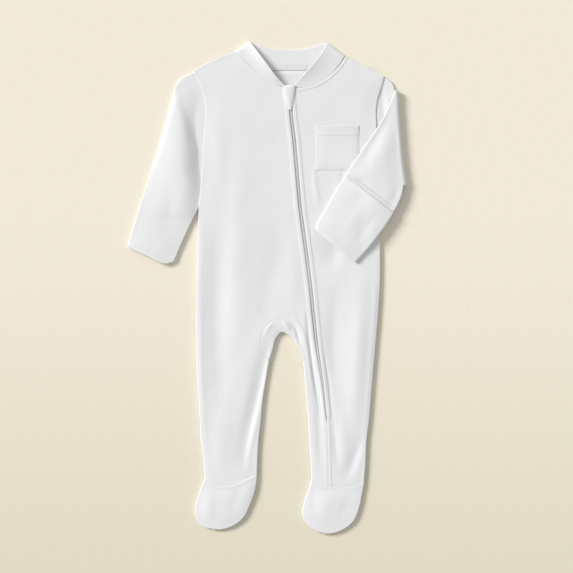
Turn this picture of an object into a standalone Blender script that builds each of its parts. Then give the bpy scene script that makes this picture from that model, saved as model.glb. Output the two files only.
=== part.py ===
"""A footed baby sleepsuit lying on its back: white jersey, zip front, one sleeve folded over the chest.

Lengths here are in millimetres and become metres when a mesh is made. X runs across the suit, Y from the
toes to the neck and Z up from the surface it lies on. The origin is the middle of the laid-out suit, on
that surface. Right and left are the wearer's, so the right side is at -X.

Each piece is a grid of points between four edges. A point's height comes from how far it lies from the
nearest fold of the cloth: a quick round at the fold and a slow rise after it.
"""

from collections import namedtuple

import bpy
import bmesh
import numpy as np

MM = 0.001

# Cloth
WALL = 1.2  # jersey
BAND_WALL = 1.6  # the neckband, folded double
GAP = 0.3  # between pieces at a seam
BACK_INSET = 2.5  # the back lies inside the fronts' rolled edges by this much

# Heights above the surface that the suit lies on
RIM_Z = 0.6  # where a front's rolled edge stops
EDGE_Z = 2.9  # top of the cloth just inside a fold
EDGE_ROUND = 2.4  # how far in from a fold its round reaches
EDGE_COLUMNS = (0.0, 0.7, EDGE_ROUND, 8.0)  # how far in from a fold the columns of a panel lie
RAISED_ROUND = 0.7  # height of the round where the edge lies on a sleeve
CROWN = 1.9  # further rise towards the middle of a panel
CROWN_REACH = 26.0
SLEEVE_Z = 2.9  # a flat sleeve: two walls and a little air
SLEEVE_CROWN = 1.5
TUCK = 9.0  # how far a sleeve's end reaches under the body
LIFT_REACH = 22.0  # over this length beyond, the body's edge comes down off the sleeve

# The left sleeve, folded over the chest
FOLDED_Z = 6.6  # underside of the folded stretch at its fold
CHEST_DROP = 1.2  # how much lower it lies on the chest
DROP_REACH = 20.0  # over this length inside the body's edge
FOLD_RADIUS = FOLDED_Z / 2  # to the middle of its two layers
TURN_STEPS = 6

# The zip
ZIP_TOP = 248.4
ZIP_END = -160.0
ZIP_OPENING = 5.4  # between the fronts' turned edges
ZIP_OPENING_END = 2.6  # at its lower end
TAPE_WIDTH = 18.0
TAPE_WALL = 1.0
COIL_WIDTH = 3.8
COIL_HEIGHT = 1.2
ZIP_ROWS = 22

Girth = namedtuple("Girth", "y right zip_line left")
Leg = namedtuple("Leg", "y right_outer right_inner left_inner left_seam left_outer")

# The body below the arms: where its two sides and the zip cross each height.
TORSO = [
    Girth(99, -85, 42.0, 140.5),
    Girth(38, -87, 50.4, 142.3),
    Girth(-3, -88.3, 55.4, 141.5),
    Girth(-28, -88.6, 57.8, 140),
]
# The legs from there to the ankles. Below the zip's end its line goes on as the left leg's front seam.
LEGS = [
    Leg(-66, -88.8, 10, 36, 61.8, 136.8),
    Leg(-91, -88.3, 3.6, 45.4, 65.4, 134.6),
    Leg(-116, -87.2, -0.8, 47.4, 69.4, 132.4),
    Leg(-141, -85.4, -4.6, 49.6, 72.4, 130.4),
    Leg(-166, -83.9, -7, 51.6, 74.8, 128.2),
    Leg(-191, -83, -9.8, 53, 76.0, 125.2),
    Leg(-216, -80, -11.2, 54.8, 76.6, 124),
    Leg(-240, -78, -11.8, 55.4, 77, 122.2),
]

# Edges, each from the neck or shoulder outwards and down.
ARMHOLE_RIGHT = [(-92, 271), (-83, 252), (-78, 237), (-76, 218)]
OVER_SLEEVE_RIGHT = [(-76, 218), (-79, 184), (-81, 148), (-85, 99)]
ARMHOLE_LEFT = [(147, 264), (144, 253), (138, 234), (137, 207)]
OVER_SLEEVE_LEFT = [(137, 207), (138, 165), (139.5, 130), (140.5, 99)]
SHOULDER_RIGHT = [(-40, 295), (-51, 291.5), (-72, 282), (-92, 271)]
SHOULDER_LEFT = [(98, 289), (117, 279.5), (133, 271), (147, 264)]
NECK_SEAM_RIGHT = [(-40, 295), (-30, 286), (-20, 276), (-7, 264), (6, 256), (24.8, 249)]
NECK_SEAM_LEFT = [(98, 289), (90, 277), (77, 264), (64, 256), (50, 251), (30.2, 249)]
NECK_FREE_RIGHT = [(-21, 308), (-9, 291), (2, 276), (12, 263), (22, 254)]
NECK_FREE_LEFT = [(76, 306.5), (70, 295), (59, 281), (47, 267), (35, 254)]
NECK_FREE_BACK = [(-21, 308), (-8, 302.5), (8, 299), (29, 297.5), (51, 299.5), (66, 303.5), (76, 306.5)]
NECK_SEAM_BACK = [(-40, 295), (-24, 281), (-6, 273), (27, 271.5), (58, 273), (80, 279), (98, 289)]
CROTCH = [(3.6, -91), (8, -77), (12, -63), (19, -56), (27, -59.5), (36.5, -71), (45.4, -91)]
GUSSET_RIGHT = [(7, -41), (-2, -50), (-6.5, -61), (-7, -73), (-0.4, -87)]
GUSSET_LEFT = [(31, -44.5), (38, -51), (42, -62), (45.2, -73), (49.4, -87)]
ANKLE_RIGHT = [(-78, -240), (-67, -245.5), (-55, -247.5), (-40, -246), (-26, -240), (-11.8, -234)]
ANKLE_LEFT = [(55.4, -242), (66, -246.5), (77, -247.5), (100, -249), (112, -248), (122, -245)]

# The feet, down each side to the toe.
FOOT_RIGHT_OUTER = [(-78, -240), (-84, -254), (-88.5, -269), (-90, -283), (-84.5, -295), (-66, -302)]
FOOT_RIGHT_INNER = [(-11.8, -234), (-14.5, -254), (-20.5, -271), (-29, -288), (-41, -297.5), (-56, -302.5)]
FOOT_LEFT_INNER = [(55.4, -242), (51.5, -254), (46, -270), (44, -285), (53, -299), (70, -307)]
FOOT_LEFT_OUTER = [(122, -245), (119.5, -258), (116, -275), (108, -293), (96, -302.5), (81, -307.7)]

# The sleeves. Their ends reach under the body, and the left one lies out to its fold and back.
CUFF_RIGHT = [(-174.6, 51), (-166, 45), (-150, 39), (-126, 30.5), (-115.5, 33)]
SLEEVE_RIGHT_END = [(-84, 271), (-75, 250), (-69.5, 234), (-68, 216), (-70, 184), (-73, 150)]
SLEEVE_RIGHT_OUTER = [(-84, 271), (-99, 266), (-110.5, 258), (-118, 237), (-133.6, 182), (-149.6, 131)]
SLEEVE_RIGHT_OUTER += [CUFF_RIGHT[0]]
SLEEVE_RIGHT_INNER = [(-73, 150), (-77, 120), (-85, 99), (-95.5, 81), (-105.5, 60), (-115.5, 33)]
SLEEVE_LEFT_END = [(139, 266), (136, 252), (130, 234), (129, 207), (130, 168)]
SLEEVE_LEFT_OUT_UPPER = [(139, 266), (150, 262), (158, 254), (160, 246)]
SLEEVE_LEFT_OUT_LOWER = [(130, 168), (142, 161), (155, 147), (170.5, 127)]
SLEEVE_LEFT_FOLD = [(160, 246), (161, 222), (163.2, 190), (166.2, 155), (170.5, 127)]
SLEEVE_LEFT_BACK_UPPER = [(160, 246), (143, 208), (117, 169), (87, 121), (70, 91), (62.5, 76), (63, 71)]
SLEEVE_LEFT_BACK_LOWER = [(170.5, 127), (166.5, 110), (157, 92), (145, 74), (116, 38), (110, 32)]
CUFF_LEFT = [(63, 71), (85, 51.5), (110, 32)]
TUCK_CLEAR = 12.0  # a sleeve stays flat this far from its end
MITTEN_LENGTH = 73.0
MITTEN_ROWS = 10  # the row of the right sleeve where its mitten flap starts
PLATE_CLEAR = 6.0  # a sleeve stays off a pocket or a body edge this far round it
PLATE_EASE = 10.0  # and comes down over this length
MITTEN_LEFT_EDGE = [(157, 93), (135, 110), (116, 124.5), (99, 137)]
MITTEN_LEFT_LOWER = [(157, 93), (145, 74), (116, 38), (110, 32)]
MITTEN_LEFT_UPPER = [(99, 137), (87, 121), (70, 91), (62.5, 76), (63, 71)]
BAND_FRONT_Z = 4.1  # middle of the neckband in front

POCKET_X = (61.0, 115.0)
POCKET_Y = (202.0, 146.0)

MIDDLE = [(-7, 264), (2, 214), (10, 130), (18, 30), (20, -39.5)]  # of the right front, down to the gusset
NECK_SPLIT = 3  # the point of the right neck seam where the right front's two strips meet
SHOULDER_SHARES = (0, 0.012, 0.042, 0.14, 0.36, 0.57, 0.79, 1)  # rows close together under the shoulder
FRONT_STEPS = (SHOULDER_SHARES, 6, 6, 7, 7)  # armhole, over the sleeve, side, beside the gusset, leg
CHEST_Y = 130.0  # where the rows beside the zip change their spacing
THIGH_Y = -91.0

GUARD_TOP = [(20.5, 251), (28, 253), (35.5, 252.5)]
GUARD_RIGHT = [(20.5, 251), (22.5, 238), (28, 221)]
GUARD_LEFT = [(35.5, 252.5), (34, 238), (31, 221)]
GUARD_Z = 6.5  # underside, above the slider
SLIDER_PLATE = (6.6, 9.5, 1.0)
SLIDER_BODY = (4.2, 8.0, 1.7)
SLIDER_Y = 241.0


# ---------------------------------------------------------------- edges and grids


def along(points, fractions):
    """Points at these shares of the length of a smooth curve through the given ones."""
    knots = np.array(points, float)
    gaps = np.linalg.norm(np.diff(knots, axis=0), axis=1)
    at = np.concatenate([[0], np.cumsum(gaps)])
    slope = np.gradient(knots, at, axis=0, edge_order=min(2, len(knots) - 1))
    wanted = np.asarray(fractions, float) * at[-1]
    k = np.clip(np.searchsorted(at, wanted, side="right") - 1, 0, len(gaps) - 1)
    span = gaps[k][:, None]
    u = (wanted - at[k])[:, None] / span
    start = knots[k] * (1 + 2 * u) * (1 - u) ** 2 + slope[k] * span * u * (1 - u) ** 2
    end = knots[k + 1] * u * u * (3 - 2 * u) + slope[k + 1] * span * u * u * (u - 1)
    return start + end


def rail(*runs):
    """Points down an edge. Each run is (points, steps), or (points, shares of its length), and the edge
    may turn a corner between two."""
    parts = [
        along(points, np.linspace(0, 1, steps + 1) if isinstance(steps, int) else steps)
        for points, steps in runs
    ]
    return np.concatenate([parts[0]] + [part[1:] for part in parts[1:]])


def column(table, name):
    """One column of a table as points on an edge."""
    return [(getattr(row, name), row.y) for row in table]


def zip_at(y):
    """Where the zip's line, or the leg seam below it, crosses this height."""
    rows = [(ZIP_TOP, 27.5), (209, 31.4), (184, 34.6), (134, 38.8)]
    rows += [(row.y, row.zip_line) for row in TORSO]
    rows += [(row.y, row.left_seam) for row in LEGS]
    table = np.array(sorted(rows))
    return np.interp(y, table[:, 0], table[:, 1])


def beside_zip(top, bottom, side):
    """An edge beside the zip between two heights: side is -1 to the wearer's right of it, 1 to the left."""
    y = np.linspace(top, bottom, 9)
    share = np.clip((y - ZIP_END) / (LEGS[0].y - ZIP_END), 0, 1)
    opening = ZIP_OPENING_END + (ZIP_OPENING - ZIP_OPENING_END) * share
    half = np.where(y < ZIP_END, GAP, opening) / 2
    return [(zip_at(v) + side * h, v) for v, h in zip(y, half)]


def moved(line, distance):
    """A line of points moved to its left, looking along it."""
    line = np.array(line, float)
    ahead = np.gradient(line, axis=0)
    ahead /= np.linalg.norm(ahead, axis=1)[:, None]
    return line + distance * np.stack([-ahead[:, 1], ahead[:, 0]], axis=1)


def across(left_margin, middle, right_margin):
    """Shares across a panel for a row of this width: close together at a folded edge, even elsewhere."""
    margins = np.array(EDGE_COLUMNS)

    def shares(width):
        first = margins / width if left_margin else np.array([0.0])
        last = 1 - margins[::-1] / width if right_margin else np.array([1.0])
        between = np.linspace(first[-1], last[0], middle + 2)[1:-1]
        return np.concatenate([first, between, last])

    return shares


def patch(top, bottom, left, right, shares):
    """The grid of points between four edges. left and right are points, one a row, and top and bottom are
    lists of points that a smooth curve joins. The rows straighten quickly away from those two."""
    top, bottom = np.array(top, float), np.array(bottom, float)
    steps = np.linalg.norm(np.diff(left, axis=0), axis=1) + np.linalg.norm(np.diff(right, axis=0), axis=1)
    down = np.concatenate([[0], np.cumsum(steps)]) / steps.sum()
    rows = []
    for t, start, end in zip(down, left, right):
        s = shares(np.linalg.norm(end - start))
        high, low = along(top, s), along(bottom, s)
        s = s[:, None]
        high -= (1 - s) * top[0] + s * top[-1]
        low -= (1 - s) * bottom[0] + s * bottom[-1]
        rows.append((1 - s) * start + s * end + (1 - t) ** 3 * high + t**3 * low)
    return np.array(rows)


def distance(points, line):
    """How far each point is from the nearest place on a line of points."""
    line = np.asarray(line, float)
    start, step = line[:-1], np.diff(line, axis=0)
    away = points[..., None, :] - start
    share = np.clip((away * step).sum(-1) / (step * step).sum(-1), 0, 1)
    return np.linalg.norm(away - share[..., None] * step, axis=-1).min(-1)


# ---------------------------------------------------------------- heights


def eased(share):
    share = np.clip(share, 0, 1)
    return share * share * (3 - 2 * share)


def rounded(away):
    """From 0 at a fold to 1 where its round ends."""
    return np.sqrt(1 - (1 - np.clip(away / EDGE_ROUND, 0, 1)) ** 2)


def crowned(away):
    return np.sin(np.pi / 2 * np.clip(away / CROWN_REACH, 0, 1))


def body_folds():
    """The lines where the body's cloth turns under: shoulders, armholes, sides, and round the crotch."""
    right_side = column(TORSO, "right") + column(LEGS, "right_outer")
    left_side = column(TORSO, "left") + column(LEGS, "left_outer")
    right_inner = column(LEGS[1:], "right_inner")
    left_inner = column(LEGS[1:], "left_inner")
    return [
        rail((SHOULDER_RIGHT, 8), (ARMHOLE_RIGHT, 8), (OVER_SLEEVE_RIGHT, 12), (right_side, 40)),
        rail((SHOULDER_LEFT, 8), (ARMHOLE_LEFT, 8), (OVER_SLEEVE_LEFT, 12), (left_side, 40)),
        rail((right_inner[::-1], 16), (CROTCH, 24), (left_inner, 16)),
    ]


def body_top(points):
    """Height of the body's front. Its edge runs round to the surface, or lies on a sleeve's end."""
    away = np.min([distance(points, fold) for fold in body_folds()], axis=0)
    arms = [
        rail((ARMHOLE_RIGHT, 8), (OVER_SLEEVE_RIGHT, 12)),
        rail((ARMHOLE_LEFT, 8), (OVER_SLEEVE_LEFT[:2], 5)),
    ]
    lift = 1 - eased((np.min([distance(points, arm) for arm in arms], axis=0) - TUCK) / LIFT_REACH)
    low = RIM_Z + (EDGE_Z - RIM_Z) * rounded(away) + CROWN * crowned(away)
    sleeve = SLEEVE_Z + GAP + WALL
    high = sleeve + RAISED_ROUND * rounded(away) + (EDGE_Z + CROWN - sleeve - RAISED_ROUND) * crowned(away)
    return (1 - lift) * low + lift * high


def with_height(grid, height):
    return np.concatenate([grid, height[..., None]], axis=-1)


def moved_out(grid, away):
    """A grid of 3-D points moved out along its own normals."""
    down, over = np.gradient(grid, axis=0), np.gradient(grid, axis=1)
    normal = np.cross(down, over)
    return grid + away * normal / np.linalg.norm(normal, axis=-1, keepdims=True)


# ---------------------------------------------------------------- Blender objects


def clear_scene():
    for item in list(bpy.data.objects):
        bpy.data.objects.remove(item, do_unlink=True)


def material(name, colour, roughness, metallic=0.0):
    made = bpy.data.materials.new(name)
    made.use_nodes = True
    shader = made.node_tree.nodes["Principled BSDF"]
    shader.inputs["Base Color"].default_value = (*colour, 1)
    shader.inputs["Roughness"].default_value = roughness
    shader.inputs["Metallic"].default_value = metallic
    return made


def grid_faces(rows, columns):
    for r in range(rows - 1):
        for c in range(columns - 1):
            first = r * columns + c
            yield first, first + columns, first + columns + 1, first + 1


def cloth(name, grids, finish, wall=WALL, outwards=False):
    """A wall of cloth with its outer face, or its inner one where outwards, on these joined grids."""
    shape = bmesh.new()
    for grid in grids:
        points = [shape.verts.new(point * MM) for point in grid.reshape(-1, 3)]
        for face in grid_faces(*grid.shape[:2]):
            shape.faces.new([points[k] for k in face])
    bmesh.ops.remove_doubles(shape, verts=shape.verts, dist=0.02 * MM)
    mesh = bpy.data.meshes.new(name)
    shape.to_mesh(mesh)
    shape.free()
    mesh.shade_smooth()
    piece = bpy.data.objects.new(name, mesh)
    solidify = piece.modifiers.new("wall", "SOLIDIFY")
    solidify.thickness = wall * MM
    solidify.offset = 1 if outwards else -1
    return finished(piece, finish)


def plate(name, outline, thickness, finish, z=0.0):
    """A flat piece cut to this outline, lying at height z."""
    curve = bpy.data.curves.new(name, "CURVE")
    curve.dimensions = "2D"
    curve.fill_mode = "BOTH"
    curve.extrude = thickness / 2 * MM
    spline = curve.splines.new("POLY")
    spline.points.add(len(outline) - 1)
    for point, (x, y) in zip(spline.points, outline):
        point.co = (x * MM, y * MM, 0, 1)
    spline.use_cyclic_u = True
    piece = bpy.data.objects.new(name, curve)
    piece.location.z = (z + thickness / 2) * MM
    return finished(piece, finish)


def finished(piece, finish):
    piece.data.materials.append(finish)
    bpy.data.collections["sleepsuit"].objects.link(piece)
    return piece


# ---------------------------------------------------------------- the body


def make_back(finish):
    """The back, flat on the surface inside the fronts' rolled edges and short of the sleeves' ends."""
    right_side = column(TORSO, "right") + column(LEGS, "right_outer")
    left_side = column(TORSO, "left") + column(LEGS, "left_outer")
    right = [
        moved(rail((SHOULDER_RIGHT[:3], 4)), BACK_INSET)[1:],
        moved(rail((SLEEVE_RIGHT_END, 12)), 2 * GAP),
        moved(rail((SLEEVE_RIGHT_INNER[:3], 4)), 2 * GAP)[1:-1],
        moved(rail((right_side, 20)), BACK_INSET)[1:],
    ]
    left = [
        moved(rail((SHOULDER_LEFT[:3], 4)), -BACK_INSET)[1:],
        moved(rail((SLEEVE_LEFT_END, 8)), -2 * GAP),
        np.array([(134.5, 150), (136.3, 128)]),
        moved(rail((left_side, 20)), -BACK_INSET),
    ]
    legs_right = moved(rail((column(LEGS[1:], "right_inner")[::-1], 10)), BACK_INSET)
    legs_left = moved(rail((column(LEGS[1:], "left_inner"), 10)), BACK_INSET)
    ankle_right = rail((ANKLE_RIGHT, 6))[1:-1] + (0, GAP)
    ankle_left = rail((ANKLE_LEFT, 6))[1:-1] + (0, GAP)
    crotch = moved(rail((CROTCH, 14)), BACK_INSET)[1:-1]
    neck = rail((NECK_SEAM_BACK[::-1], 16)) - (0, GAP)
    between = [ankle_right, legs_right, crotch, legs_left, ankle_left]
    upwards = [part[::-1] for part in left[::-1]]
    return plate("body_back", np.concatenate(right + between + upwards + [neck[1:-1]]), WALL, finish)


def side_runs(name, armhole, over_sleeve, ankle):
    """A front's outer edge from the shoulder to the ankle."""
    side = column(TORSO, name)
    leg = column(LEGS[:-1], name + "_outer") + [above(ankle)]
    runs = [armhole, over_sleeve, side, [side[-1]] + leg[:2], leg[1:]]
    return list(zip(runs, FRONT_STEPS))


def zip_runs(side):
    """A front's edge beside the zip and then the leg seam, from the neck to the ankle."""
    heights = (ZIP_TOP, CHEST_Y, TORSO[-1].y, THIGH_Y, above(ANKLE_LEFT[2])[1])
    pairs = zip(heights[:-1], heights[1:])
    return [(beside_zip(top, bottom, side), steps) for (top, bottom), steps in zip(pairs, FRONT_STEPS[1:])]


def neck_seam(side):
    """The neckband's seam edge, with a point wherever the front beside it has one."""
    if side == "left":
        return rail((NECK_SEAM_LEFT, SHOULDER_SHARES))
    outer, inner = NECK_SEAM_RIGHT[: NECK_SPLIT + 1], NECK_SEAM_RIGHT[NECK_SPLIT:]
    width = np.linalg.norm(np.subtract(inner[-1], inner[0]))
    return rail((outer, SHOULDER_SHARES), (inner, across(True, 2, False)(width)))


def above(ankle):
    """A point of the ankle seam's upper side."""
    return ankle[0], ankle[1] + 3 * GAP


def leg_inner(seam, name, ankle):
    """The runs of a leg's inner edge: from the gusset's seam out to the fold, then down the fold."""
    fold = column(LEGS[1:-1], name) + [above(ankle)]
    fold[0] = (fold[0][0], fold[0][1] - 2 * GAP)
    return ([tuple(seam[-1]), fold[0]], 1), (fold, FRONT_STEPS[-1] - 1)


def make_front_right(finish):
    """The right front in two strips that meet down the chest and part at the crotch: one runs into the
    right leg and the other into the inner half of the left leg."""
    arm, over, side, thigh, _ = FRONT_STEPS
    seam_right = moved([MIDDLE[-1]] + GUSSET_RIGHT, -GAP)
    seam_left = moved([MIDDLE[-1]] + GUSSET_LEFT, GAP)
    crotch_top = np.array(MIDDLE[-1]) + (0, GAP)
    seam_right[0] = seam_left[0] = crotch_top
    for seam in (seam_right, seam_left):
        seam[-1] -= (0, 2 * GAP)
    neck = moved(NECK_SEAM_RIGHT, -2 * GAP)
    middle = ([tuple(neck[NECK_SPLIT])] + MIDDLE[1:-1] + [tuple(crotch_top)], over + side)
    outer = patch(
        SHOULDER_RIGHT[::-1],
        ANKLE_RIGHT,
        rail(*side_runs("right", ARMHOLE_RIGHT, OVER_SLEEVE_RIGHT, ANKLE_RIGHT[0])),
        rail(
            (neck[: NECK_SPLIT + 1], arm),
            middle,
            (seam_right, thigh),
            *leg_inner(seam_right, "right_inner", ANKLE_RIGHT[-1]),
        ),
        across(True, 3, True),
    )
    inner = patch(
        neck[NECK_SPLIT:],
        ANKLE_LEFT[:3],
        rail(middle, (seam_left, thigh), *leg_inner(seam_left, "left_inner", ANKLE_LEFT[0])),
        rail(*zip_runs(-1)),
        across(True, 2, False),
    )
    grids = [with_height(grid, body_top(grid)) for grid in (outer, inner)]
    return cloth("body_front_right", grids, finish)


def make_front_left(finish):
    grid = patch(
        SHOULDER_LEFT,
        ANKLE_LEFT[2:],
        rail((moved(NECK_SEAM_LEFT, 2 * GAP), FRONT_STEPS[0]), *zip_runs(1)),
        rail(*side_runs("left", ARMHOLE_LEFT, OVER_SLEEVE_LEFT, ANKLE_LEFT[-1])),
        across(False, 6, True),
    )
    return cloth("body_front_left", [with_height(grid, body_top(grid))], finish)


def make_gusset(finish):
    """The oval band round the crotch, from its seam with the front to the fold at the leg openings."""
    steps = FRONT_STEPS[3]
    seam = rail((GUSSET_RIGHT[::-1] + [MIDDLE[-1]], steps), ([MIDDLE[-1]] + GUSSET_LEFT, steps))
    grid = patch(
        [seam[0], CROTCH[0]],
        [seam[-1], CROTCH[-1]],
        seam,
        rail((CROTCH, 2 * steps)),
        lambda width: np.array([0, 0.45, 1 - EDGE_COLUMNS[2] / width, 1 - EDGE_COLUMNS[1] / width, 1]),
    )
    return cloth("crotch_gusset", [with_height(grid, body_top(grid))[:, ::-1]], finish)


def make_foot(side, ankle, first, second, finish):
    """A foot's upper, rolled down to the surface all round, and its flat sole inside it."""
    left, right = rail((first, 10)), rail((second, 10))
    toe = [left[-1], (left[-1] + right[-1]) / 2 - (0, 0.6), right[-1]]
    grid = patch(ankle, toe, left, right, across(True, 2, True))
    away = distance(grid, np.concatenate([left, toe[1:2], right[::-1]]))
    height = RIM_Z + (EDGE_Z - RIM_Z) * rounded(away) + CROWN * crowned(away)
    cloth("foot_upper_" + side, [with_height(grid, height)], finish)
    start, end = rail((ankle, 5))[1:-1] - (0, GAP), moved(left, BACK_INSET)[1:]
    outline = np.concatenate([start[::-1], end, moved(right, -BACK_INSET)[:0:-1]])
    plate("foot_sole_" + side, outline, WALL, finish)


# ---------------------------------------------------------------- the sleeves


def half_thickness(away):
    return SLEEVE_Z / 2 * rounded(away)


def tube(name, front, back, finish):
    """A flattened sleeve. front and back are its two layers, which share their first and last columns."""
    ring = np.concatenate([front, back[:, -2:0:-1]], axis=1)
    grid = np.concatenate([ring, ring[:, :1]], axis=1)
    return cloth(name, [grid], finish)


def make_sleeve_right(finish):
    outer, inner = rail((SLEEVE_RIGHT_OUTER, 13)), rail((SLEEVE_RIGHT_INNER, 13))
    plan = patch(SLEEVE_RIGHT_END, CUFF_RIGHT, outer, inner, across(True, 3, True))
    away = np.minimum(distance(plan, outer), distance(plan, inner))
    half = half_thickness(away)
    clear = distance(plan, rail((SLEEVE_RIGHT_END, 12))) - TUCK_CLEAR
    crown = SLEEVE_CROWN * crowned(away) * eased(clear / LIFT_REACH)
    beyond = distance(plan, rail((CUFF_RIGHT, 8))) - MITTEN_LENGTH
    base = (WALL + GAP) * (1 - eased(beyond / PLATE_EASE))
    middle = base + SLEEVE_Z / 2
    tube("sleeve_right", with_height(plan, middle + half + crown), with_height(plan, middle - half), finish)
    flap_outer = moved(outer[MITTEN_ROWS:], EDGE_ROUND)
    flap_inner = moved(inner[MITTEN_ROWS:], -EDGE_ROUND)
    outline = np.concatenate([flap_outer, flap_inner[::-1]])
    plate("mitten_flap_right", outline, WALL, finish)


def folded_rest(points):
    """Underside of the folded sleeve: clear of the body's raised edge and the pocket, lower on the chest."""
    body_edge = rail((ARMHOLE_LEFT, 6), (OVER_SLEEVE_LEFT, 10), (column(TORSO, "left"), 10))
    inside = np.where(points[..., 0] < TORSO[0].left, distance(points, body_edge), 0)
    x, y = points[..., 0], points[..., 1]
    off_pocket = np.maximum(np.maximum(x - POCKET_X[1], POCKET_X[0] - x), POCKET_Y[1] - y)
    on_pocket = 1 - eased((off_pocket - PLATE_CLEAR) / PLATE_EASE)
    return FOLDED_Z - CHEST_DROP * eased((inside - PLATE_CLEAR) / DROP_REACH) * (1 - on_pocket)


def folded_plan():
    lower, upper = rail((SLEEVE_LEFT_BACK_LOWER, 10)), rail((SLEEVE_LEFT_BACK_UPPER, 10))
    plan = patch(SLEEVE_LEFT_FOLD[::-1], CUFF_LEFT[::-1], lower, upper, across(True, 3, True))
    return plan, lower, upper


def folded_layers(plan, lower, upper):
    away = np.minimum(distance(plan, lower), distance(plan, upper))
    half = half_thickness(away)
    clear = distance(plan, rail((SLEEVE_LEFT_FOLD, 8)))
    middle = folded_rest(plan) + SLEEVE_Z / 2
    crown = SLEEVE_CROWN * crowned(away) * eased(clear / LIFT_REACH)
    return with_height(plan, middle - half), with_height(plan, middle + half + crown)


def make_sleeve_left(finish):
    """One tube from under the body's edge out to the fold, round it, and back over the chest."""
    lower, upper = rail((SLEEVE_LEFT_OUT_LOWER, 4)), rail((SLEEVE_LEFT_OUT_UPPER, 4))
    out = patch(SLEEVE_LEFT_END[::-1], SLEEVE_LEFT_FOLD[::-1], lower, upper, across(True, 3, True))
    half = half_thickness(np.minimum(distance(out, lower), distance(out, upper)))
    inner, outer = [with_height(out, SLEEVE_Z / 2 + half)], [with_height(out, SLEEVE_Z / 2 - half)]
    axis, depth = out[-1], half[-1]
    chord = axis[-1] - axis[0]
    outward = np.array([chord[1], -chord[0]]) / np.linalg.norm(chord)
    for turn in np.linspace(-np.pi / 2, np.pi / 2, TURN_STEPS + 1)[1:-1]:
        for layer, radius in ((inner, FOLD_RADIUS - depth), (outer, FOLD_RADIUS + depth)):
            plan = axis + outward * (radius * np.cos(turn))[:, None]
            height = SLEEVE_Z / 2 + FOLD_RADIUS + radius * np.sin(turn)
            layer.append(with_height(plan, height)[None])
    under, over = folded_layers(*folded_plan())
    tube("sleeve_left", np.concatenate(inner + [under]), np.concatenate(outer + [over]), finish)


def make_mitten_left(finish):
    """The fold-over mitten on the folded sleeve's cuff, made from the sleeve's own surface moved out."""
    lower, upper = rail((MITTEN_LEFT_LOWER, 5)), rail((MITTEN_LEFT_UPPER, 5))
    plan = patch(MITTEN_LEFT_EDGE, CUFF_LEFT[::-1], lower, upper, across(True, 3, True))
    _, back_lower, back_upper = folded_plan()
    _, over = folded_layers(plan, back_lower, back_upper)
    cloth("mitten_flap_left", [moved_out(over[:, ::-1], GAP)], finish, WALL, outwards=True)


# ---------------------------------------------------------------- neckband, zip and pocket


def neck_limb(side, free_line, pull):
    """The two edges of a front limb of the neckband, drawn in from its turn at the shoulder tip."""
    seam = neck_seam(side)
    at = np.concatenate([[0], np.cumsum(np.linalg.norm(np.diff(seam, axis=0), axis=1))])
    shares = at / at[-1]
    ease = pull * (1 - shares)[:, None]
    return seam - ease, along(free_line, shares) - ease


def make_neckband(finish):
    """One doubled strip: down both sides of the neck in front, turned over at the shoulder tips, and
    flat along the back."""
    shares = np.array([0, 0.5, 1])
    radius = (BAND_FRONT_Z - BAND_WALL / 2) / 2
    rows = []

    def limb(seam, free, height):
        for start, end in zip(seam, free):
            rows.append(with_height(start + shares[:, None] * (end - start), np.full(3, height)))

    def turn(start, end, outward, steps):
        for angle in steps:
            plan = start + shares[:, None] * (end - start) + np.multiply(outward, radius * np.cos(angle))
            rows.append(with_height(plan, np.full(3, BAND_WALL / 2 + radius * (1 + np.sin(angle)))))

    pull = radius + BAND_WALL / 2
    out_right, out_left = np.array([-0.56, 0.83]), np.array([0.64, 0.77])
    down = np.linspace(np.pi / 2, -np.pi / 2, 5)[1:-1]
    seam, free = neck_limb("right", NECK_FREE_RIGHT, pull * out_right)
    limb(seam[::-1], free[::-1], BAND_FRONT_Z)
    turn(seam[0], free[0], out_right, down)
    back_seam, back_free = rail((NECK_SEAM_BACK, 12)), rail((NECK_FREE_BACK, 12))
    for edge in (back_seam, back_free):
        edge[0] -= pull * out_right
        edge[-1] -= pull * out_left
    limb(back_seam, back_free, BAND_WALL / 2)
    seam, free = neck_limb("left", NECK_FREE_LEFT, pull * out_left)
    turn(seam[0], free[0], out_left, down[::-1])
    limb(seam, free, BAND_FRONT_Z)
    piece = cloth("neckband", [np.array(rows)], finish, BAND_WALL)
    piece.modifiers["wall"].offset = 0
    return piece


def strip(y, half, height):
    """A grid of three columns along the zip's line."""
    plan = np.array([[(zip_at(v) + side * half, v) for side in (-1, 0, 1)] for v in y])
    return with_height(plan, height(plan))


def make_zip(tape_finish, coil_finish, slider_finish):
    y = np.linspace(ZIP_TOP - 1, ZIP_END, ZIP_ROWS)
    under = WALL + GAP

    def tape_top(plan):
        return body_top(plan) - under

    cloth("zip_tape", [strip(y, TAPE_WIDTH / 2, tape_top)], tape_finish, TAPE_WALL)
    coil_y = np.linspace(SLIDER_Y - SLIDER_PLATE[1] / 2 - 1, ZIP_END + 2, ZIP_ROWS)
    coil_top = GAP + COIL_HEIGHT
    coil = strip(coil_y, COIL_WIDTH / 2, lambda plan: tape_top(plan) + coil_top)
    taper = np.interp(coil_y, [ZIP_END, LEGS[0].y], [0.4, 1])[:, None]
    coil[..., 0] = coil[:, 1:2, 0] + (coil[..., 0] - coil[:, 1:2, 0]) * taper
    cloth("zip_coil", [coil], coil_finish, COIL_HEIGHT)
    make_slider(slider_finish)


def block(name, size, centre):
    shape = bmesh.new()
    bmesh.ops.create_cube(shape, size=1)
    for vert in shape.verts:
        vert.co = [(vert.co[k] * size[k] + centre[k]) * MM for k in range(3)]
    mesh = bpy.data.meshes.new(name)
    shape.to_mesh(mesh)
    shape.free()
    return bpy.data.objects.new(name, mesh)


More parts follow.
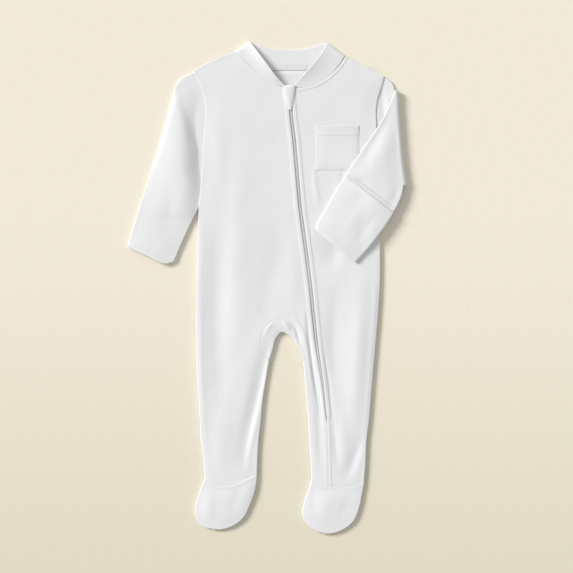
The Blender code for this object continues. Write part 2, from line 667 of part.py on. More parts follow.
def make_slider(finish):
    """The slider's plate lies on the fronts' edges and its body sits between them."""
    x, y = zip_at(SLIDER_Y), SLIDER_Y
    plate_z = float(body_top(np.array([[x, y]]))[0]) + GAP + SLIDER_PLATE[2] / 2
    body_z = plate_z - SLIDER_BODY[2] / 2
    piece = block("zip_slider", SLIDER_PLATE, (x, y, plate_z))
    body = block("zip_slider_body", SLIDER_BODY, (x, y, body_z))
    body.hide_render = True
    body.display_type = "WIRE"
    bpy.data.collections["cutters"].objects.link(body)
    joined = piece.modifiers.new("body", "BOOLEAN")
    joined.operation = "UNION"
    joined.object = body
    return finished(piece, finish)


def make_guard(finish):
    grid = patch(GUARD_TOP, [GUARD_RIGHT[-1], GUARD_LEFT[-1]], rail((GUARD_RIGHT, 5)), rail((GUARD_LEFT, 5)),
                 lambda width: np.linspace(0, 1, 4))
    return cloth("zip_guard", [with_height(grid, np.full(grid.shape[:2], GUARD_Z + WALL))], finish)


def make_pocket(finish):
    x = np.linspace(*POCKET_X, 6)
    y = np.linspace(*POCKET_Y, 6)
    plan = np.array([[(u, v) for u in x] for v in y])
    return cloth("pocket", [with_height(plan, body_top(plan) + GAP + WALL)], finish)


def main():
    clear_scene()
    for name in ("sleepsuit", "cutters"):
        bpy.context.scene.collection.children.link(bpy.data.collections.new(name))
    bpy.data.collections["cutters"].hide_render = True
    jersey = material("white_jersey", (0.80, 0.81, 0.82), 0.9)
    rib = material("white_rib", (0.80, 0.81, 0.82), 0.88)
    tape = material("zip_tape", (0.76, 0.77, 0.78), 0.85)
    coil = material("zip_coil", (0.70, 0.71, 0.73), 0.5)
    slider = material("zip_slider", (0.74, 0.75, 0.77), 0.4)
    make_back(jersey)
    make_front_right(jersey)
    make_front_left(jersey)
    make_gusset(jersey)
    make_foot("right", ANKLE_RIGHT, FOOT_RIGHT_OUTER, FOOT_RIGHT_INNER, jersey)
    make_foot("left", ANKLE_LEFT, FOOT_LEFT_INNER, FOOT_LEFT_OUTER, jersey)
    make_sleeve_right(jersey)
    make_sleeve_left(jersey)
    make_mitten_left(jersey)
    make_neckband(rib)
    make_zip(tape, coil, slider)
    make_guard(jersey)
    make_pocket(jersey)


main()
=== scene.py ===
"""The looks of a footed baby sleepsuit laid flat: white jersey shells with their creases, seams and
stitches, the zip with its teeth, and a pale paper ground in soft light from the upper left.

Lengths in the tables are in millimetres and become metres when a mesh is made. X runs across the suit, Y
from the toes to the neck and Z up from the surface it lies on. Right and left are the wearer's. Each
cloth piece is a fine grid of points between the model's own edges. Its height is the model's height with
seams, creases and a little unevenness added.
"""

from collections import namedtuple
from functools import cache

import bpy
import bmesh
import numpy as np
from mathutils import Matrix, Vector, geometry


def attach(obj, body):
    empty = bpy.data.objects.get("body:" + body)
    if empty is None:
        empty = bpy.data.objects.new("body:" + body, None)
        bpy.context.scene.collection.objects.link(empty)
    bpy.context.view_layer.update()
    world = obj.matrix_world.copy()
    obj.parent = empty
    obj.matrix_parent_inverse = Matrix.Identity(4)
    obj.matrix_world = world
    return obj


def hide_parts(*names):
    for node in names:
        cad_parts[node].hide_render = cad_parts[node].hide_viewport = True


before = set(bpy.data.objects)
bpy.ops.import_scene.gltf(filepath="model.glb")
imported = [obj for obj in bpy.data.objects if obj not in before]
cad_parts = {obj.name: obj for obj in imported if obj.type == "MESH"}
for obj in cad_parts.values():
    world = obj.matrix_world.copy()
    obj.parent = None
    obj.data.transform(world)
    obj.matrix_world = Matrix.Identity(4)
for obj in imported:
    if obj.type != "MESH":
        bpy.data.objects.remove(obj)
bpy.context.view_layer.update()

MM = 0.001
FINE = 1.0  # share of the full number of rows and columns

# Cloth
CLOTH = 0.9  # thickness of the jersey
LAYER_GAP = 0.05  # between two layers that lie on each other
BAND_WALL = 1.6  # the neckband, folded double
GAP = 0.3  # between pieces at a seam
BACK_INSET = 2.5  # the back lies inside the fronts' rolled edges by this much

# Heights above the surface that the suit lies on
RIM_Z = 0.6  # where a front's rolled edge stops
EDGE_Z = 4.5  # top of the cloth just inside a fold
EDGE_ROUND = 1.0  # how far in from a fold its round reaches
RAISED_ROUND = 0.4  # height of the round where the edge lies on a sleeve
CROWN = 0.7  # further rise towards the middle of a panel
CROWN_REACH = 26.0
FADE = 6.0  # creases fade out this far from a fold
TUBE_LEAST = 2 * CLOTH + 2 * LAYER_GAP  # thickness of a flattened tube
FOOT_CROWN = 1.8
SLEEVE_Z = 2.9  # a flat sleeve: two walls and a little air
SLEEVE_CROWN = 1.5
TUCK = 9.0  # how far a sleeve's end reaches under the body
LIFT_REACH = 22.0  # over this length beyond, the body's edge comes down off the sleeve
FOLDED_Z = 6.6  # underside of the folded stretch of the left sleeve, at its fold
CHEST_DROP = 1.2  # how much lower it lies on the chest
DROP_REACH = 20.0
FOLD_RADIUS = FOLDED_Z / 2  # to the middle of its two layers

# The zip
ZIP_TOP = 248.4
ZIP_END = -160.0
ZIP_OPENING = 4.4  # between the fronts' turned edges
ZIP_OPENING_END = 1.1  # at its lower end
TAPE_HALF = 7.0
TAPE_WALL = 0.6
TOOTH_PITCH = 1.5
TOOTH_REACH = 1.9  # from the middle of the zip to a tooth's outer end

# Columns of a panel: how far in they lie from a folded edge, from the zip, and from a plain seam.
FOLD_COLUMNS = (0.0, 0.12, 0.35, 0.7, 1.15, 1.7, 2.4, 3.2, 4.3, 5.8, 8.0)
ZIP_COLUMNS = (0.0, 0.3, 0.8, 1.5, 2.4, 3.2, 3.9, 4.4, 4.8, 5.2, 5.6, 6.1, 6.8, 7.8, 9.5)

Girth = namedtuple("Girth", "y right zip_line left")
Leg = namedtuple("Leg", "y right_outer right_inner left_inner left_seam left_outer")

# The body below the arms: where its two sides and the zip cross each height.
TORSO = [
    Girth(99, -85, 42.0, 140.5),
    Girth(38, -87, 50.4, 142.3),
    Girth(-3, -88.3, 55.4, 141.5),
    Girth(-28, -88.6, 57.8, 140),
]
# The legs from there to the ankles. Below the zip's end its line goes on as the left leg's front seam.
LEGS = [
    Leg(-66, -88.8, 10, 36, 61.8, 136.8),
    Leg(-91, -88.3, 3.6, 45.4, 65.4, 134.6),
    Leg(-116, -87.2, -0.8, 47.4, 69.4, 132.4),
    Leg(-141, -85.4, -4.6, 49.6, 72.4, 130.4),
    Leg(-166, -83.9, -7, 51.6, 74.8, 128.2),
    Leg(-191, -83, -9.8, 53, 76.0, 125.2),
    Leg(-216, -80, -11.2, 54.8, 76.6, 124),
    Leg(-240, -78, -11.8, 55.4, 77, 122.2),
]

# Edges, each from the neck or shoulder outwards and down.
ARMHOLE_RIGHT = [(-92, 271), (-83, 252), (-78, 237), (-76, 218)]
OVER_SLEEVE_RIGHT = [(-76, 218), (-79, 184), (-81, 148), (-85, 99)]
ARMHOLE_LEFT = [(147, 264), (144, 253), (138, 234), (137, 207)]
OVER_SLEEVE_LEFT = [(137, 207), (138, 165), (139.5, 130), (140.5, 99)]
SHOULDER_RIGHT = [(-40, 295), (-51, 291.5), (-72, 282), (-92, 271)]
SHOULDER_LEFT = [(98, 289), (117, 279.5), (133, 271), (147, 264)]
NECK_SEAM_RIGHT = [(-40, 295), (-30, 286), (-20, 276), (-7, 264), (6, 256), (24.8, 249)]
NECK_SEAM_LEFT = [(98, 289), (90, 277), (77, 264), (64, 256), (50, 251), (30.2, 249)]
NECK_FREE_RIGHT = [(-21, 308), (-9, 291), (2, 276), (12, 263), (22, 254)]
NECK_FREE_LEFT = [(76, 306.5), (70, 295), (59, 281), (47, 267), (35, 254)]
NECK_FREE_BACK = [(-21, 308), (-8, 302.5), (8, 299), (29, 297.5), (51, 299.5), (66, 303.5), (76, 306.5)]
NECK_SEAM_BACK = [(-40, 295), (-24, 281), (-6, 273), (27, 271.5), (58, 273), (80, 279), (98, 289)]
CROTCH = [(3.6, -91), (8, -77), (12, -63), (19, -56), (27, -59.5), (36.5, -71), (45.4, -91)]
GUSSET_RIGHT = [(13.5, -40.3), (7, -43), (-1.5, -51), (-6, -61), (-6.5, -73), (-0.4, -87)]
GUSSET_LEFT = [(26, -41.4), (31.5, -45.5), (38, -53), (42, -62.5), (45.2, -73), (49.4, -87)]
ANKLE_RIGHT = [(-78, -240), (-67, -245.5), (-55, -247.5), (-40, -246), (-26, -240), (-11.8, -234)]
ANKLE_LEFT = [(55.4, -242), (66, -246.5), (77, -247.5), (100, -249), (112, -248), (122, -245)]

# The feet, down each side to the toe.
FOOT_RIGHT_OUTER = [(-78, -240), (-84, -254), (-88.5, -269), (-90, -283), (-84.5, -295), (-66, -302)]
FOOT_RIGHT_INNER = [(-11.8, -234), (-14.5, -254), (-20.5, -271), (-29, -288), (-41, -297.5), (-56, -302.5)]
FOOT_LEFT_INNER = [(55.4, -242), (51.5, -254), (46, -270), (44, -285), (53, -299), (70, -307)]
FOOT_LEFT_OUTER = [(122, -245), (119.5, -258), (116, -275), (108, -293), (96, -302.5), (81, -307.7)]

# The sleeves. Their ends reach under the body, and the left one lies out to its fold and back.
CUFF_RIGHT = [(-174.6, 50.5), (-166, 46.8), (-149, 39), (-124, 30), (-115.5, 33)]
SLEEVE_RIGHT_END = [(-84, 271), (-75, 250), (-69.5, 234), (-68, 216), (-70, 184), (-73, 150)]
SLEEVE_RIGHT_OUTER = [(-84, 271), (-99, 266), (-110.5, 258), (-118, 237), (-133.6, 182), (-149.6, 131)]
SLEEVE_RIGHT_OUTER += [CUFF_RIGHT[0]]
SLEEVE_RIGHT_INNER = [(-73, 150), (-77, 120), (-85.3, 99), (-94.6, 80.5), (-104, 60), (-115.5, 33)]
SLEEVE_LEFT_END = [(139, 266), (136, 252), (130, 234), (129, 207), (130, 168)]
SLEEVE_LEFT_OUT_UPPER = [(139, 266), (150, 262), (158, 254), (160, 246)]
SLEEVE_LEFT_OUT_LOWER = [(130, 168), (142, 161), (155, 147), (170.5, 127)]
SLEEVE_LEFT_FOLD = [(160, 246), (161, 222), (163.2, 190), (166.2, 155), (170.5, 127)]
SLEEVE_LEFT_BACK_UPPER = [(160, 246), (143, 208), (117, 169), (87, 121), (70, 91), (62.5, 76), (63, 71)]
SLEEVE_LEFT_BACK_LOWER = [(170.5, 127), (166.5, 110), (157, 92), (145, 74), (116, 38), (110, 32)]
CUFF_LEFT = [(63, 71), (85, 51.5), (110, 32)]
HEM = 6.2  # depth of a cuff's hem
HEM_STITCHES = (5.4, 6.9)  # its two rows of stitches, from the cuff
TUCK_CLEAR = 12.0  # a sleeve stays flat this far from its end
MITTEN_LENGTH = 73.0
PLATE_CLEAR = 6.0  # a sleeve stays off a pocket or a body edge this far round it
PLATE_EASE = 10.0  # and comes down over this length
MITTEN_LEFT_EDGE = [(157, 93), (135, 110), (116, 124.5), (99, 137)]
MITTEN_LEFT_LOWER = [(157, 93), (145, 74), (116, 38), (110, 32)]
MITTEN_LEFT_UPPER = [(99, 137), (87, 121), (70, 91), (62.5, 76), (63, 71)]
BAND_FRONT_Z = 4.1  # middle of the neckband in front

STITCH_PITCH = 2.6
STITCH_LENGTH = 1.8
STITCH_RADIUS = 0.24

POCKET_X = (61.0, 115.0)
POCKET_Y = (202.0, 146.0)

MIDDLE = [(-7, 264), (2, 214), (10, 130), (18, 30), (20, -39.5)]  # of the right front, down to the gusset
NECK_SPLIT = 3  # the point of the right neck seam where the right front's two strips meet
CHEST_Y = 130.0  # where the rows beside the zip change their spacing
THIGH_Y = -91.0

GUARD_TOP = [(20.5, 251), (28, 253), (35.5, 252.5)]
GUARD_RIGHT = [(20.5, 251), (22.5, 238), (28, 221)]
GUARD_LEFT = [(35.5, 252.5), (34, 238), (31, 221)]
GUARD_Z = 6.5  # underside, above the slider
SLIDER_Y = 241.0


# ---------------------------------------------------------------- edges and grids


def fine(steps):
    return max(2, round(steps * FINE))


def spread(steps, start=1.0, end=1.0):
    """Shares of an edge for this many rows, closer together at its start or at its end."""
    t = np.linspace(0, 1, fine(steps) + 1)
    return 1 - (1 - t**start) ** end


def lengths(vectors):
    return np.linalg.norm(vectors, axis=-1)


def along(points, fractions):
    """Points at these shares of the length of a smooth curve through the given ones."""
    knots = np.array(points, float)
    gaps = lengths(np.diff(knots, axis=0))
    at = np.concatenate([[0], np.cumsum(gaps)])
    slope = np.gradient(knots, at, axis=0, edge_order=min(2, len(knots) - 1))
    wanted = np.asarray(fractions, float) * at[-1]
    k = np.clip(np.searchsorted(at, wanted, side="right") - 1, 0, len(gaps) - 1)
    span = gaps[k][:, None]
    u = (wanted - at[k])[:, None] / span
    start = knots[k] * (1 + 2 * u) * (1 - u) ** 2 + slope[k] * span * u * (1 - u) ** 2
    end = knots[k + 1] * u * u * (3 - 2 * u) + slope[k + 1] * span * u * u * (u - 1)
    return start + end


def rail(*runs):
    """Points down an edge. Each run is (points, steps), or (points, shares of its length), and the edge
    may turn a corner between two."""
    parts = [
        along(points, np.linspace(0, 1, steps + 1) if isinstance(steps, int) else steps)
        for points, steps in runs
    ]
    return np.concatenate([parts[0]] + [part[1:] for part in parts[1:]])


def column(table, name):
    """One column of a table as points on an edge."""
    return [(getattr(row, name), row.y) for row in table]


def zip_at(y):
    """Where the zip's line, or the leg seam below it, crosses this height."""
    rows = [(ZIP_TOP, 27.5), (209, 31.4), (184, 34.6), (134, 38.8)]
    rows += [(row.y, row.zip_line) for row in TORSO]
    rows += [(row.y, row.left_seam) for row in LEGS]
    table = np.array(sorted(rows))
    return np.interp(y, table[:, 0], table[:, 1])


def half_opening(y):
    """From the zip's line to a front's turned edge, or to its seam below the zip."""
    share = np.clip((y - ZIP_END) / (LEGS[0].y - ZIP_END), 0, 1)
    opening = ZIP_OPENING_END + (ZIP_OPENING - ZIP_OPENING_END) * share
    return np.where(y < ZIP_END, 0.08, opening) / 2


def beside_zip(top, bottom, side):
    """An edge beside the zip between two heights: side is -1 to the wearer's right of it, 1 to the left."""
    y = np.linspace(top, bottom, 17)
    return [(zip_at(v) + side * half_opening(v), v) for v in y]


def moved(line, distance):
    """A line of points moved to its left, looking along it."""
    line = np.array(line, float)
    ahead = np.gradient(line, axis=0)
    ahead /= lengths(ahead)[:, None]
    return line + distance * np.stack([-ahead[:, 1], ahead[:, 0]], axis=1)


def across(left, middle, right):
    """Shares across a panel for a row of this width: the columns of its two margins and even ones between.
    The margins shrink where the row is too narrow for them."""

    def shares(width):
        fit = min(1.0, 0.75 * width / (left[-1] + right[-1] + 0.01))
        first = np.array(left) * fit / width
        last = 1 - np.array(right[::-1]) * fit / width
        between = np.linspace(first[-1], last[0], fine(middle) + 2)[1:-1]
        return np.concatenate([first, between, last])

    return shares


def patch(top, bottom, left, right, shares):
    """The grid of points between four edges. left and right are points, one a row, and top and bottom are
    lists of points that a smooth curve joins. The rows straighten quickly away from those two."""
    top, bottom = np.array(top, float), np.array(bottom, float)
    steps = lengths(np.diff(left, axis=0)) + lengths(np.diff(right, axis=0))
    down = np.concatenate([[0], np.cumsum(steps)]) / steps.sum()
    rows = []
    for t, start, end in zip(down, left, right):
        s = shares(np.linalg.norm(end - start))
        high, low = along(top, s), along(bottom, s)
        s = s[:, None]
        high -= (1 - s) * top[0] + s * top[-1]
        low -= (1 - s) * bottom[0] + s * bottom[-1]
        rows.append((1 - s) * start + s * end + (1 - t) ** 3 * high + t**3 * low)
    return np.array(rows)


def beside(points, line):
    """How far each point lies to the left of a line of points, negative to its right, and at which share
    of the line."""
    nearest = np.full(points.shape[:-1], np.inf)
    place = np.zeros(points.shape[:-1])
    for k, (start, end) in enumerate(zip(line[:-1], line[1:])):
        step = end - start
        away = points - start
        share = np.clip((away @ step) / max(step @ step, 1e-9), 0, 1)
        gap = lengths(away - share[..., None] * step)
        left = np.where(step[0] * away[..., 1] < step[1] * away[..., 0], -1, 1)
        closer = gap < np.abs(nearest)
        nearest = np.where(closer, gap * left, nearest)
        place = np.where(closer, (k + share) / (len(line) - 1), place)
    return nearest, place


def distance(points, line):
    """How far each point is from the nearest place on a line of points."""
    return np.abs(beside(points, np.asarray(line, float))[0])


# ---------------------------------------------------------------- heights


def eased(share):
    share = np.clip(share, 0, 1)
    return share * share * (3 - 2 * share)


def rounded(away, reach=EDGE_ROUND):
    """From 0 at a fold to 1 where its round ends."""
    return np.sqrt(1 - (1 - np.clip(away / reach, 0, 1)) ** 2)


def crowned(away):
    return np.sin(np.pi / 2 * np.clip(away / CROWN_REACH, 0, 1))


def sides():
    """The body's right and left sides, from under the arms to the ankles."""
    return [column(TORSO, name) + column(LEGS, name + "_outer") for name in ("right", "left")]


@cache
def body_folds():
    """The lines where the body's cloth turns under: shoulders, armholes, sides, and round the crotch."""
    right_side, left_side = sides()
    left_side += [ANKLE_LEFT[-1]]
    right_inner = column(LEGS[1:], "right_inner")
    left_inner = column(LEGS[1:], "left_inner") + [ANKLE_LEFT[0]]
    return [
        rail((SHOULDER_RIGHT, 10), (ARMHOLE_RIGHT, 10), (OVER_SLEEVE_RIGHT, 16), (right_side, 48)),
        rail((SHOULDER_LEFT, 10), (ARMHOLE_LEFT, 10), (OVER_SLEEVE_LEFT, 16), (left_side, 48)),
        rail((right_inner[::-1], 20), (CROTCH, 36), (left_inner, 20)),
    ]


def from_folds(points):
    return np.min([distance(points, fold) for fold in body_folds()], axis=0)


def body_top(points, away):
    """Height of the body's front. Its edge runs round to the surface, or lies on a sleeve's end."""
    arms = [
        rail((ARMHOLE_RIGHT, 8), (OVER_SLEEVE_RIGHT, 12)),
        rail((ARMHOLE_LEFT, 8), (OVER_SLEEVE_LEFT[:2], 5)),
    ]
    lift = 1 - eased((np.min([distance(points, arm) for arm in arms], axis=0) - TUCK) / LIFT_REACH)
    low = RIM_Z + (EDGE_Z - RIM_Z) * rounded(away) + CROWN * crowned(away)
    sleeve = SLEEVE_Z + CLOTH + LAYER_GAP
    high = sleeve + RAISED_ROUND * rounded(away) + (EDGE_Z + CROWN - sleeve - RAISED_ROUND) * crowned(away)
    return (1 - lift) * low + lift * high


def creased(points, creases):
    """What soft ridges and troughs add. Each fades out towards both ends of its line."""
    rise = np.zeros(points.shape[:-1])
    for line, right, left, depth in creases:
        away, share = beside(points, rail((line, 6 * (len(line) - 1))))
        width = np.where(away > 0, left, right)
        rise += depth * np.sin(np.pi * share) ** 0.8 * np.exp(-((away / width) ** 2))
    return RELIEF * rise


def uneven(points, seed, amount=1.0):
    """The slight unevenness of cloth smoothed by hand: waves of several lengths in seeded directions."""
    random = np.random.default_rng(seed)
    warped = points + 7 * np.sin(points[..., ::-1] / 37 + seed)
    total = np.zeros(points.shape[:-1])
    for length, size in WAVES:
        for _ in range(3):
            angle, phase = random.uniform(0, 2 * np.pi, 2)
            level = warped[..., 0] * np.cos(angle) + warped[..., 1] * np.sin(angle)
            total += size * np.sin(2 * np.pi * level / length + phase)
    return amount * total


def allowance(away, rise, reach, dip):
    """What a seam adds: a dip on its own line, and cloth lying double as far as reach beside it."""
    return rise * (1 - eased((away - reach + 0.8) / 1.6)) - dip * np.exp(-((away / 0.75) ** 2))


def hem(away, rise, reach):
    """What a turned and stitched hem adds, with a groove under its stitches."""
    groove = 0.22 * np.exp(-(((away - reach) / 0.7) ** 2))
    return rise * (1 - eased((away - reach) / 1.6)) - groove - 0.5 * (1 - rounded(away, 0.8))


def turned(points):
    """What a front gains beside the zip, where its edge is turned under and stitched down. Below the zip
    the two edges meet in a plain seam."""
    x, y = points[..., 0], points[..., 1]
    away = np.maximum(np.abs(x - zip_at(y)) * 0.99 - half_opening(y), 0)
    groove = 0.3 * np.exp(-(((away - TURNED) / 0.6) ** 2))
    edge = 0.55 * (1 - eased((away - TURNED + 0.5) / 1.8)) - groove - 0.75 * (1 - rounded(away, 0.9))
    beside_seam = np.where(x > zip_at(y), 0.3, 0.12)
    seam = beside_seam * (1 - eased((away - 3.2) / 1.6)) - 0.15 * np.exp(-((away / 0.6) ** 2))
    zipped = eased((y - ZIP_END + 6) / 5)
    return zipped * edge + (1 - zipped) * seam


@cache
def neck_lines():
    return rail((NECK_SEAM_RIGHT, 24)), rail((NECK_SEAM_LEFT, 24))


@cache
def gusset_line():
    return rail((GUSSET_RIGHT[::-1] + [MIDDLE[-1]], 20), ([MIDDLE[-1]] + GUSSET_LEFT, 20))


@cache
def ankle_lines():
    return rail((ANKLE_RIGHT, 16)), rail((ANKLE_LEFT, 16))


def front_height(points):
    """The fronts and the gusset, with all that the cloth does between its folds."""
    away = from_folds(points)
    free = eased(away / FADE)
    rise = creased(points, BODY_CREASES) + uneven(points, 5)
    neck = np.min([distance(points, line) for line in neck_lines()], axis=0)
    ankle = np.min([distance(points, line) for line in ankle_lines()], axis=0)
    seams = allowance(neck, 0.3, 4.2, 0.2) - 0.08 * np.exp(-((ankle / 0.9) ** 2))
    seams -= 0.05 * np.exp(-((distance(points, gusset_line()) / 0.9) ** 2))
    return body_top(points, away) + free * rise + turned(points) + seams


def with_height(grid, height):
    return np.concatenate([grid, height[..., None]], axis=-1)


def normals(grid):
    down, over = np.gradient(grid, axis=0), np.gradient(grid, axis=1)
    normal = np.cross(down, over)
    return normal / np.maximum(np.linalg.norm(normal, axis=-1, keepdims=True), 1e-9)


def moved_out(grid, away):
    """A grid of 3-D points moved out along its own normals."""
    return grid + np.asarray(away)[..., None] * normals(grid)


# ---------------------------------------------------------------- creases

# Each row is a crease: its line, its width to the right and to the left of it, and its rise.
WAVES = ((140, 0.13), (74, 0.05), (34, 0.018), (15, 0.006))  # length and height of the cloth's slight waves
RELIEF = 1.35  # how deeply the cloth lies in its creases
TURNED = 4.9  # width of the fronts' turned edges beside the zip

BODY_CREASES = [
    # down the right side and over the belly
    ([(-61, 112), (-62, 9), (-61, -91), (-56, -170)], 12, 15, -1.5),
    ([(-81, 90), (-83.5, -16), (-81, -141), (-74.7, -228)], 4, 5, 0.5),
    ([(-33, 196), (-35, 110), (-38, 9), (-41, -84)], 12, 18, 0.7),
    ([(16.5, 92), (6.5, 9), (-7, -43)], 14, 14, -0.8),
    ([(31, 60), (34, 0), (31, -36)], 7, 9, 0.3),
    ([(-58, 230), (-20, 205), (14, 190)], 12, 20, 0.35),
    ([(-66, 214), (-60, 170), (-57, 128)], 9, 12, 0.5),
    # down the left front
    ([(90, 3), (84, -66), (88, -141)], 9, 11, -1.0),
    ([(119, 20), (114, -78), (107, -190)], 11, 12, 1.3),
    ([(137.8, 47), (134, -53), (126.5, -153), (120.3, -228)], 4, 4, 0.35),
    ([(88, 66), (85, 46), (80, 20)], 14, 9, -1.1),
    ([(59, 156), (61, 125), (66, 98)], 3, 3.5, 0.5),
    ([(96, 150), (95, 138), (91, 124)], 3, 3, -0.5),
    # the right leg, drawn in to the ankle
    ([(4, -60), (-5.5, -105), (-14.5, -145), (-25, -190), (-31, -230)], 9, 4.5, -1.5),
    ([(-5, -140), (-15.4, -178), (-24, -222)], 3, 3, 0.35),
    ([(-52, -120), (-55, -178), (-58, -230)], 10, 12, 0.5),
    # the left leg
    ([(55, -72), (62.3, -134.4), (66, -190.7), (68.6, -237)], 4.5, 5, -0.7),
    ([(83.6, -168), (86, -199.4), (88.6, -222)], 3.5, 3.5, -0.5),
    ([(92, -150), (96, -190), (97, -230)], 6, 7, 0.55),
    ([(119, -184), (109, -214), (97, -243)], 7, 5, -0.8),
    ([(121, -200), (116, -222), (110, -243)], 4, 4, 0.25),
    # beside the zip
    ([(50, -30), (57.5, -101), (64.5, -141), (68.5, -172)], 2.4, 2.4, -1.1),
    ([(45, -20), (52, -84), (59, -130)], 4, 4, 0.5),
    ([(69, -66), (80, -141), (84, -180)], 2.4, 2.4, -0.45),
    # drawn out from the gusset
    ([(18, -41.5), (24, -46.5), (28.5, -54.4)], 2.2, 2.4, 0.9),
    ([(27, -43), (35, -50), (39.5, -62), (42, -74)], 1.7, 1.9, -0.9),
    ([(29, -38), (39, -45), (45, -58), (48, -76)], 2.4, 2.6, 0.6),
    ([(11, -40), (3, -33), (-12, -24)], 4, 5, -0.45),
    ([(-2, -60), (2, -50), (10, -44)], 2.2, 2.2, 0.5),
    ([(1, -94), (-2, -110), (-6, -128)], 1.8, 2.2, -0.5),
]

RIGHT_SLEEVE_CREASES = [
    ([(-108, 254), (-101, 227), (-94, 200), (-89, 172)], 7, 9, -1.3),
    ([(-90, 250), (-82, 206), (-79, 165), (-79, 135), (-84, 84)], 13, 11, -2.4),
    ([(-116, 246), (-110, 196), (-106, 140), (-108, 84)], 26, 22, 3.4),
    ([(-122, 130), (-120, 95), (-126, 54)], 9, 11, -0.5),
]

LEFT_SLEEVE_CREASES = [
    ([(158, 226), (136, 184), (112, 142)], 7, 7, -0.7),
    ([(159, 196), (143, 165), (127, 130)], 13, 12, 0.6),
    ([(165, 126), (155, 106), (147, 96)], 5, 6, -0.4),
    ([(162, 98), (138, 114), (119, 127), (100, 142)], 2.6, 2.6, -0.9),
    ([(126, 108), (108, 84), (92, 62)], 8, 9, 0.5),
    ([(140, 96), (122, 72), (108, 52)], 5, 6, -0.4),
]

LEFT_OUT_CREASES = [
    ([(143, 250), (145, 228), (146, 204)], 3, 3, -0.7),
    ([(152, 240), (153, 222), (153, 206)], 2.5, 2.5, 0.5),
]


# ---------------------------------------------------------------- meshes


def link(piece, finish, node=None):
    piece.data.materials.append(finish)
    bpy.context.scene.collection.objects.link(piece)
    if node:
        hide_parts(node)
    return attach(piece, "root")


def thicken(piece, wall, offset):
    solidify = piece.modifiers.new("wall", "SOLIDIFY")
    solidify.thickness = wall * MM
    solidify.offset = offset


def mesh_of(name, points, faces):
    mesh = bpy.data.meshes.new(name)
    mesh.from_pydata((points * MM).tolist(), [], faces)
    mesh.shade_smooth()
    return mesh


def grid_faces(rows, columns, first=0):
    start = first + np.arange((rows - 1) * columns).reshape(rows - 1, columns)[:, :-1].reshape(-1)
    return np.stack([start, start + columns, start + columns + 1, start + 1], axis=1)


def cloth(name, grids, finish, node, wall=CLOTH, outwards=False):
    """A thin shell with its outer face, or its inner one where outwards, on these joined grids."""
    first = np.cumsum([0] + [grid.shape[0] * grid.shape[1] for grid in grids])
    faces = np.concatenate([grid_faces(*g.shape[:2], k) for g, k in zip(grids, first)])
    points = np.concatenate([grid.reshape(-1, 3) for grid in grids])
    mesh = mesh_of(name, points, faces.tolist())
    shape = bmesh.new()
    shape.from_mesh(mesh)
    bmesh.ops.remove_doubles(shape, verts=shape.verts, dist=0.01 * MM)
    for edge in shape.edges:
        edge.smooth = not edge.is_boundary
    shape.to_mesh(mesh)
    shape.free()
    piece = bpy.data.objects.new(name, mesh)
    if wall:
        thicken(piece, wall, 1 if outwards else -1)
    return link(piece, finish, node)


def plate(name, outline, finish, node):
    """A flat piece cut to this outline, lying on the surface."""
    outline = np.asarray(outline, float)
    low, high = outline.min(axis=0), outline.max(axis=0)
    step = 4.0 / FINE
    inside = [(x, y) for x in np.arange(low[0], high[0], step) for y in np.arange(low[1], high[1], step)]
    points = [Vector(point) for point in outline.tolist() + inside]
    face = [list(range(len(outline)))]
    made = geometry.delaunay_2d_cdt(points, [], face, 1, 0.001)
    flat = np.array([(point.x, point.y, 0) for point in made[0]])
    mesh = mesh_of(name, flat, [list(corners) for corners in made[2]])
    piece = bpy.data.objects.new(name, mesh)
    thicken(piece, CLOTH, 1)
    return link(piece, finish, node)


def tube(name, front, back, finish, node, wall=CLOTH):
    """A flattened tube. front and back are its two layers, which share their first and last columns."""
    ring = np.concatenate([front, back[:, -2:0:-1]], axis=1)
    return cloth(name, [np.concatenate([ring, ring[:, :1]], axis=1)], finish, node, wall)


def capsules(name, starts, ends, radius, finish, flat=1.0):
    """Small round-ended rods between pairs of points, as one piece."""
    sides = 6
    along_rod = np.array([0.0, 0.14, 0.86, 1.0])
    size = np.array([0.4, 1.0, 1.0, 0.4]) * radius
    ahead = ends - starts
    unit = ahead / np.linalg.norm(ahead, axis=1, keepdims=True)
    aside = np.cross(unit, (0, 0, 1))
    aside /= np.linalg.norm(aside, axis=1, keepdims=True)
    over = np.cross(aside, unit) * flat
    turn = np.arange(sides) * 2 * np.pi / sides
    around = aside[:, None] * np.cos(turn)[:, None] + over[:, None] * np.sin(turn)[:, None]
    middle = starts[:, None] + ahead[:, None] * along_rod[:, None]
    points = middle[:, :, None] + around[:, None] * size[:, None, None]
    rings = len(size)
    faces = []
    for ring in range(rings - 1):
        for k in range(sides):
            low, high = ring * sides + k, ring * sides + (k + 1) % sides
            faces.append((low, high, high + sides, low + sides))
    caps = [tuple(range(sides))[::-1], tuple(range((rings - 1) * sides, rings * sides))]
    every = []
    for rod in range(len(starts)):
        first = rod * rings * sides
        every += [[first + k for k in face] for face in faces + caps]
    piece = bpy.data.objects.new(name, mesh_of(name, points.reshape(-1, 3), every))
    return link(piece, finish)


def stitches(name, runs, finish):
    """Stitches along lines. Each run is a line of points in plan and the height of the cloth it crosses."""
    random = np.random.default_rng(sum(map(ord, name)))
    starts, ends = [], []
    for line, height in runs:
        line = np.asarray(line, float)
        at = np.concatenate([[0], np.cumsum(lengths(np.diff(line, axis=0)))])
        middle = np.arange(STITCH_PITCH / 2, at[-1] - STITCH_PITCH / 2, STITCH_PITCH)
        middle = middle + random.normal(0, 0.05, len(middle))
        for found, way in ((starts, -1), (ends, 1)):
            place = middle + way * STITCH_LENGTH / 2
            plan = np.stack([np.interp(place, at, line[:, k]) for k in range(2)], axis=1)
            found.append(with_height(plan, height(plan) + 0.02))
    return capsules(name, np.concatenate(starts), np.concatenate(ends), STITCH_RADIUS, finish, 0.8)


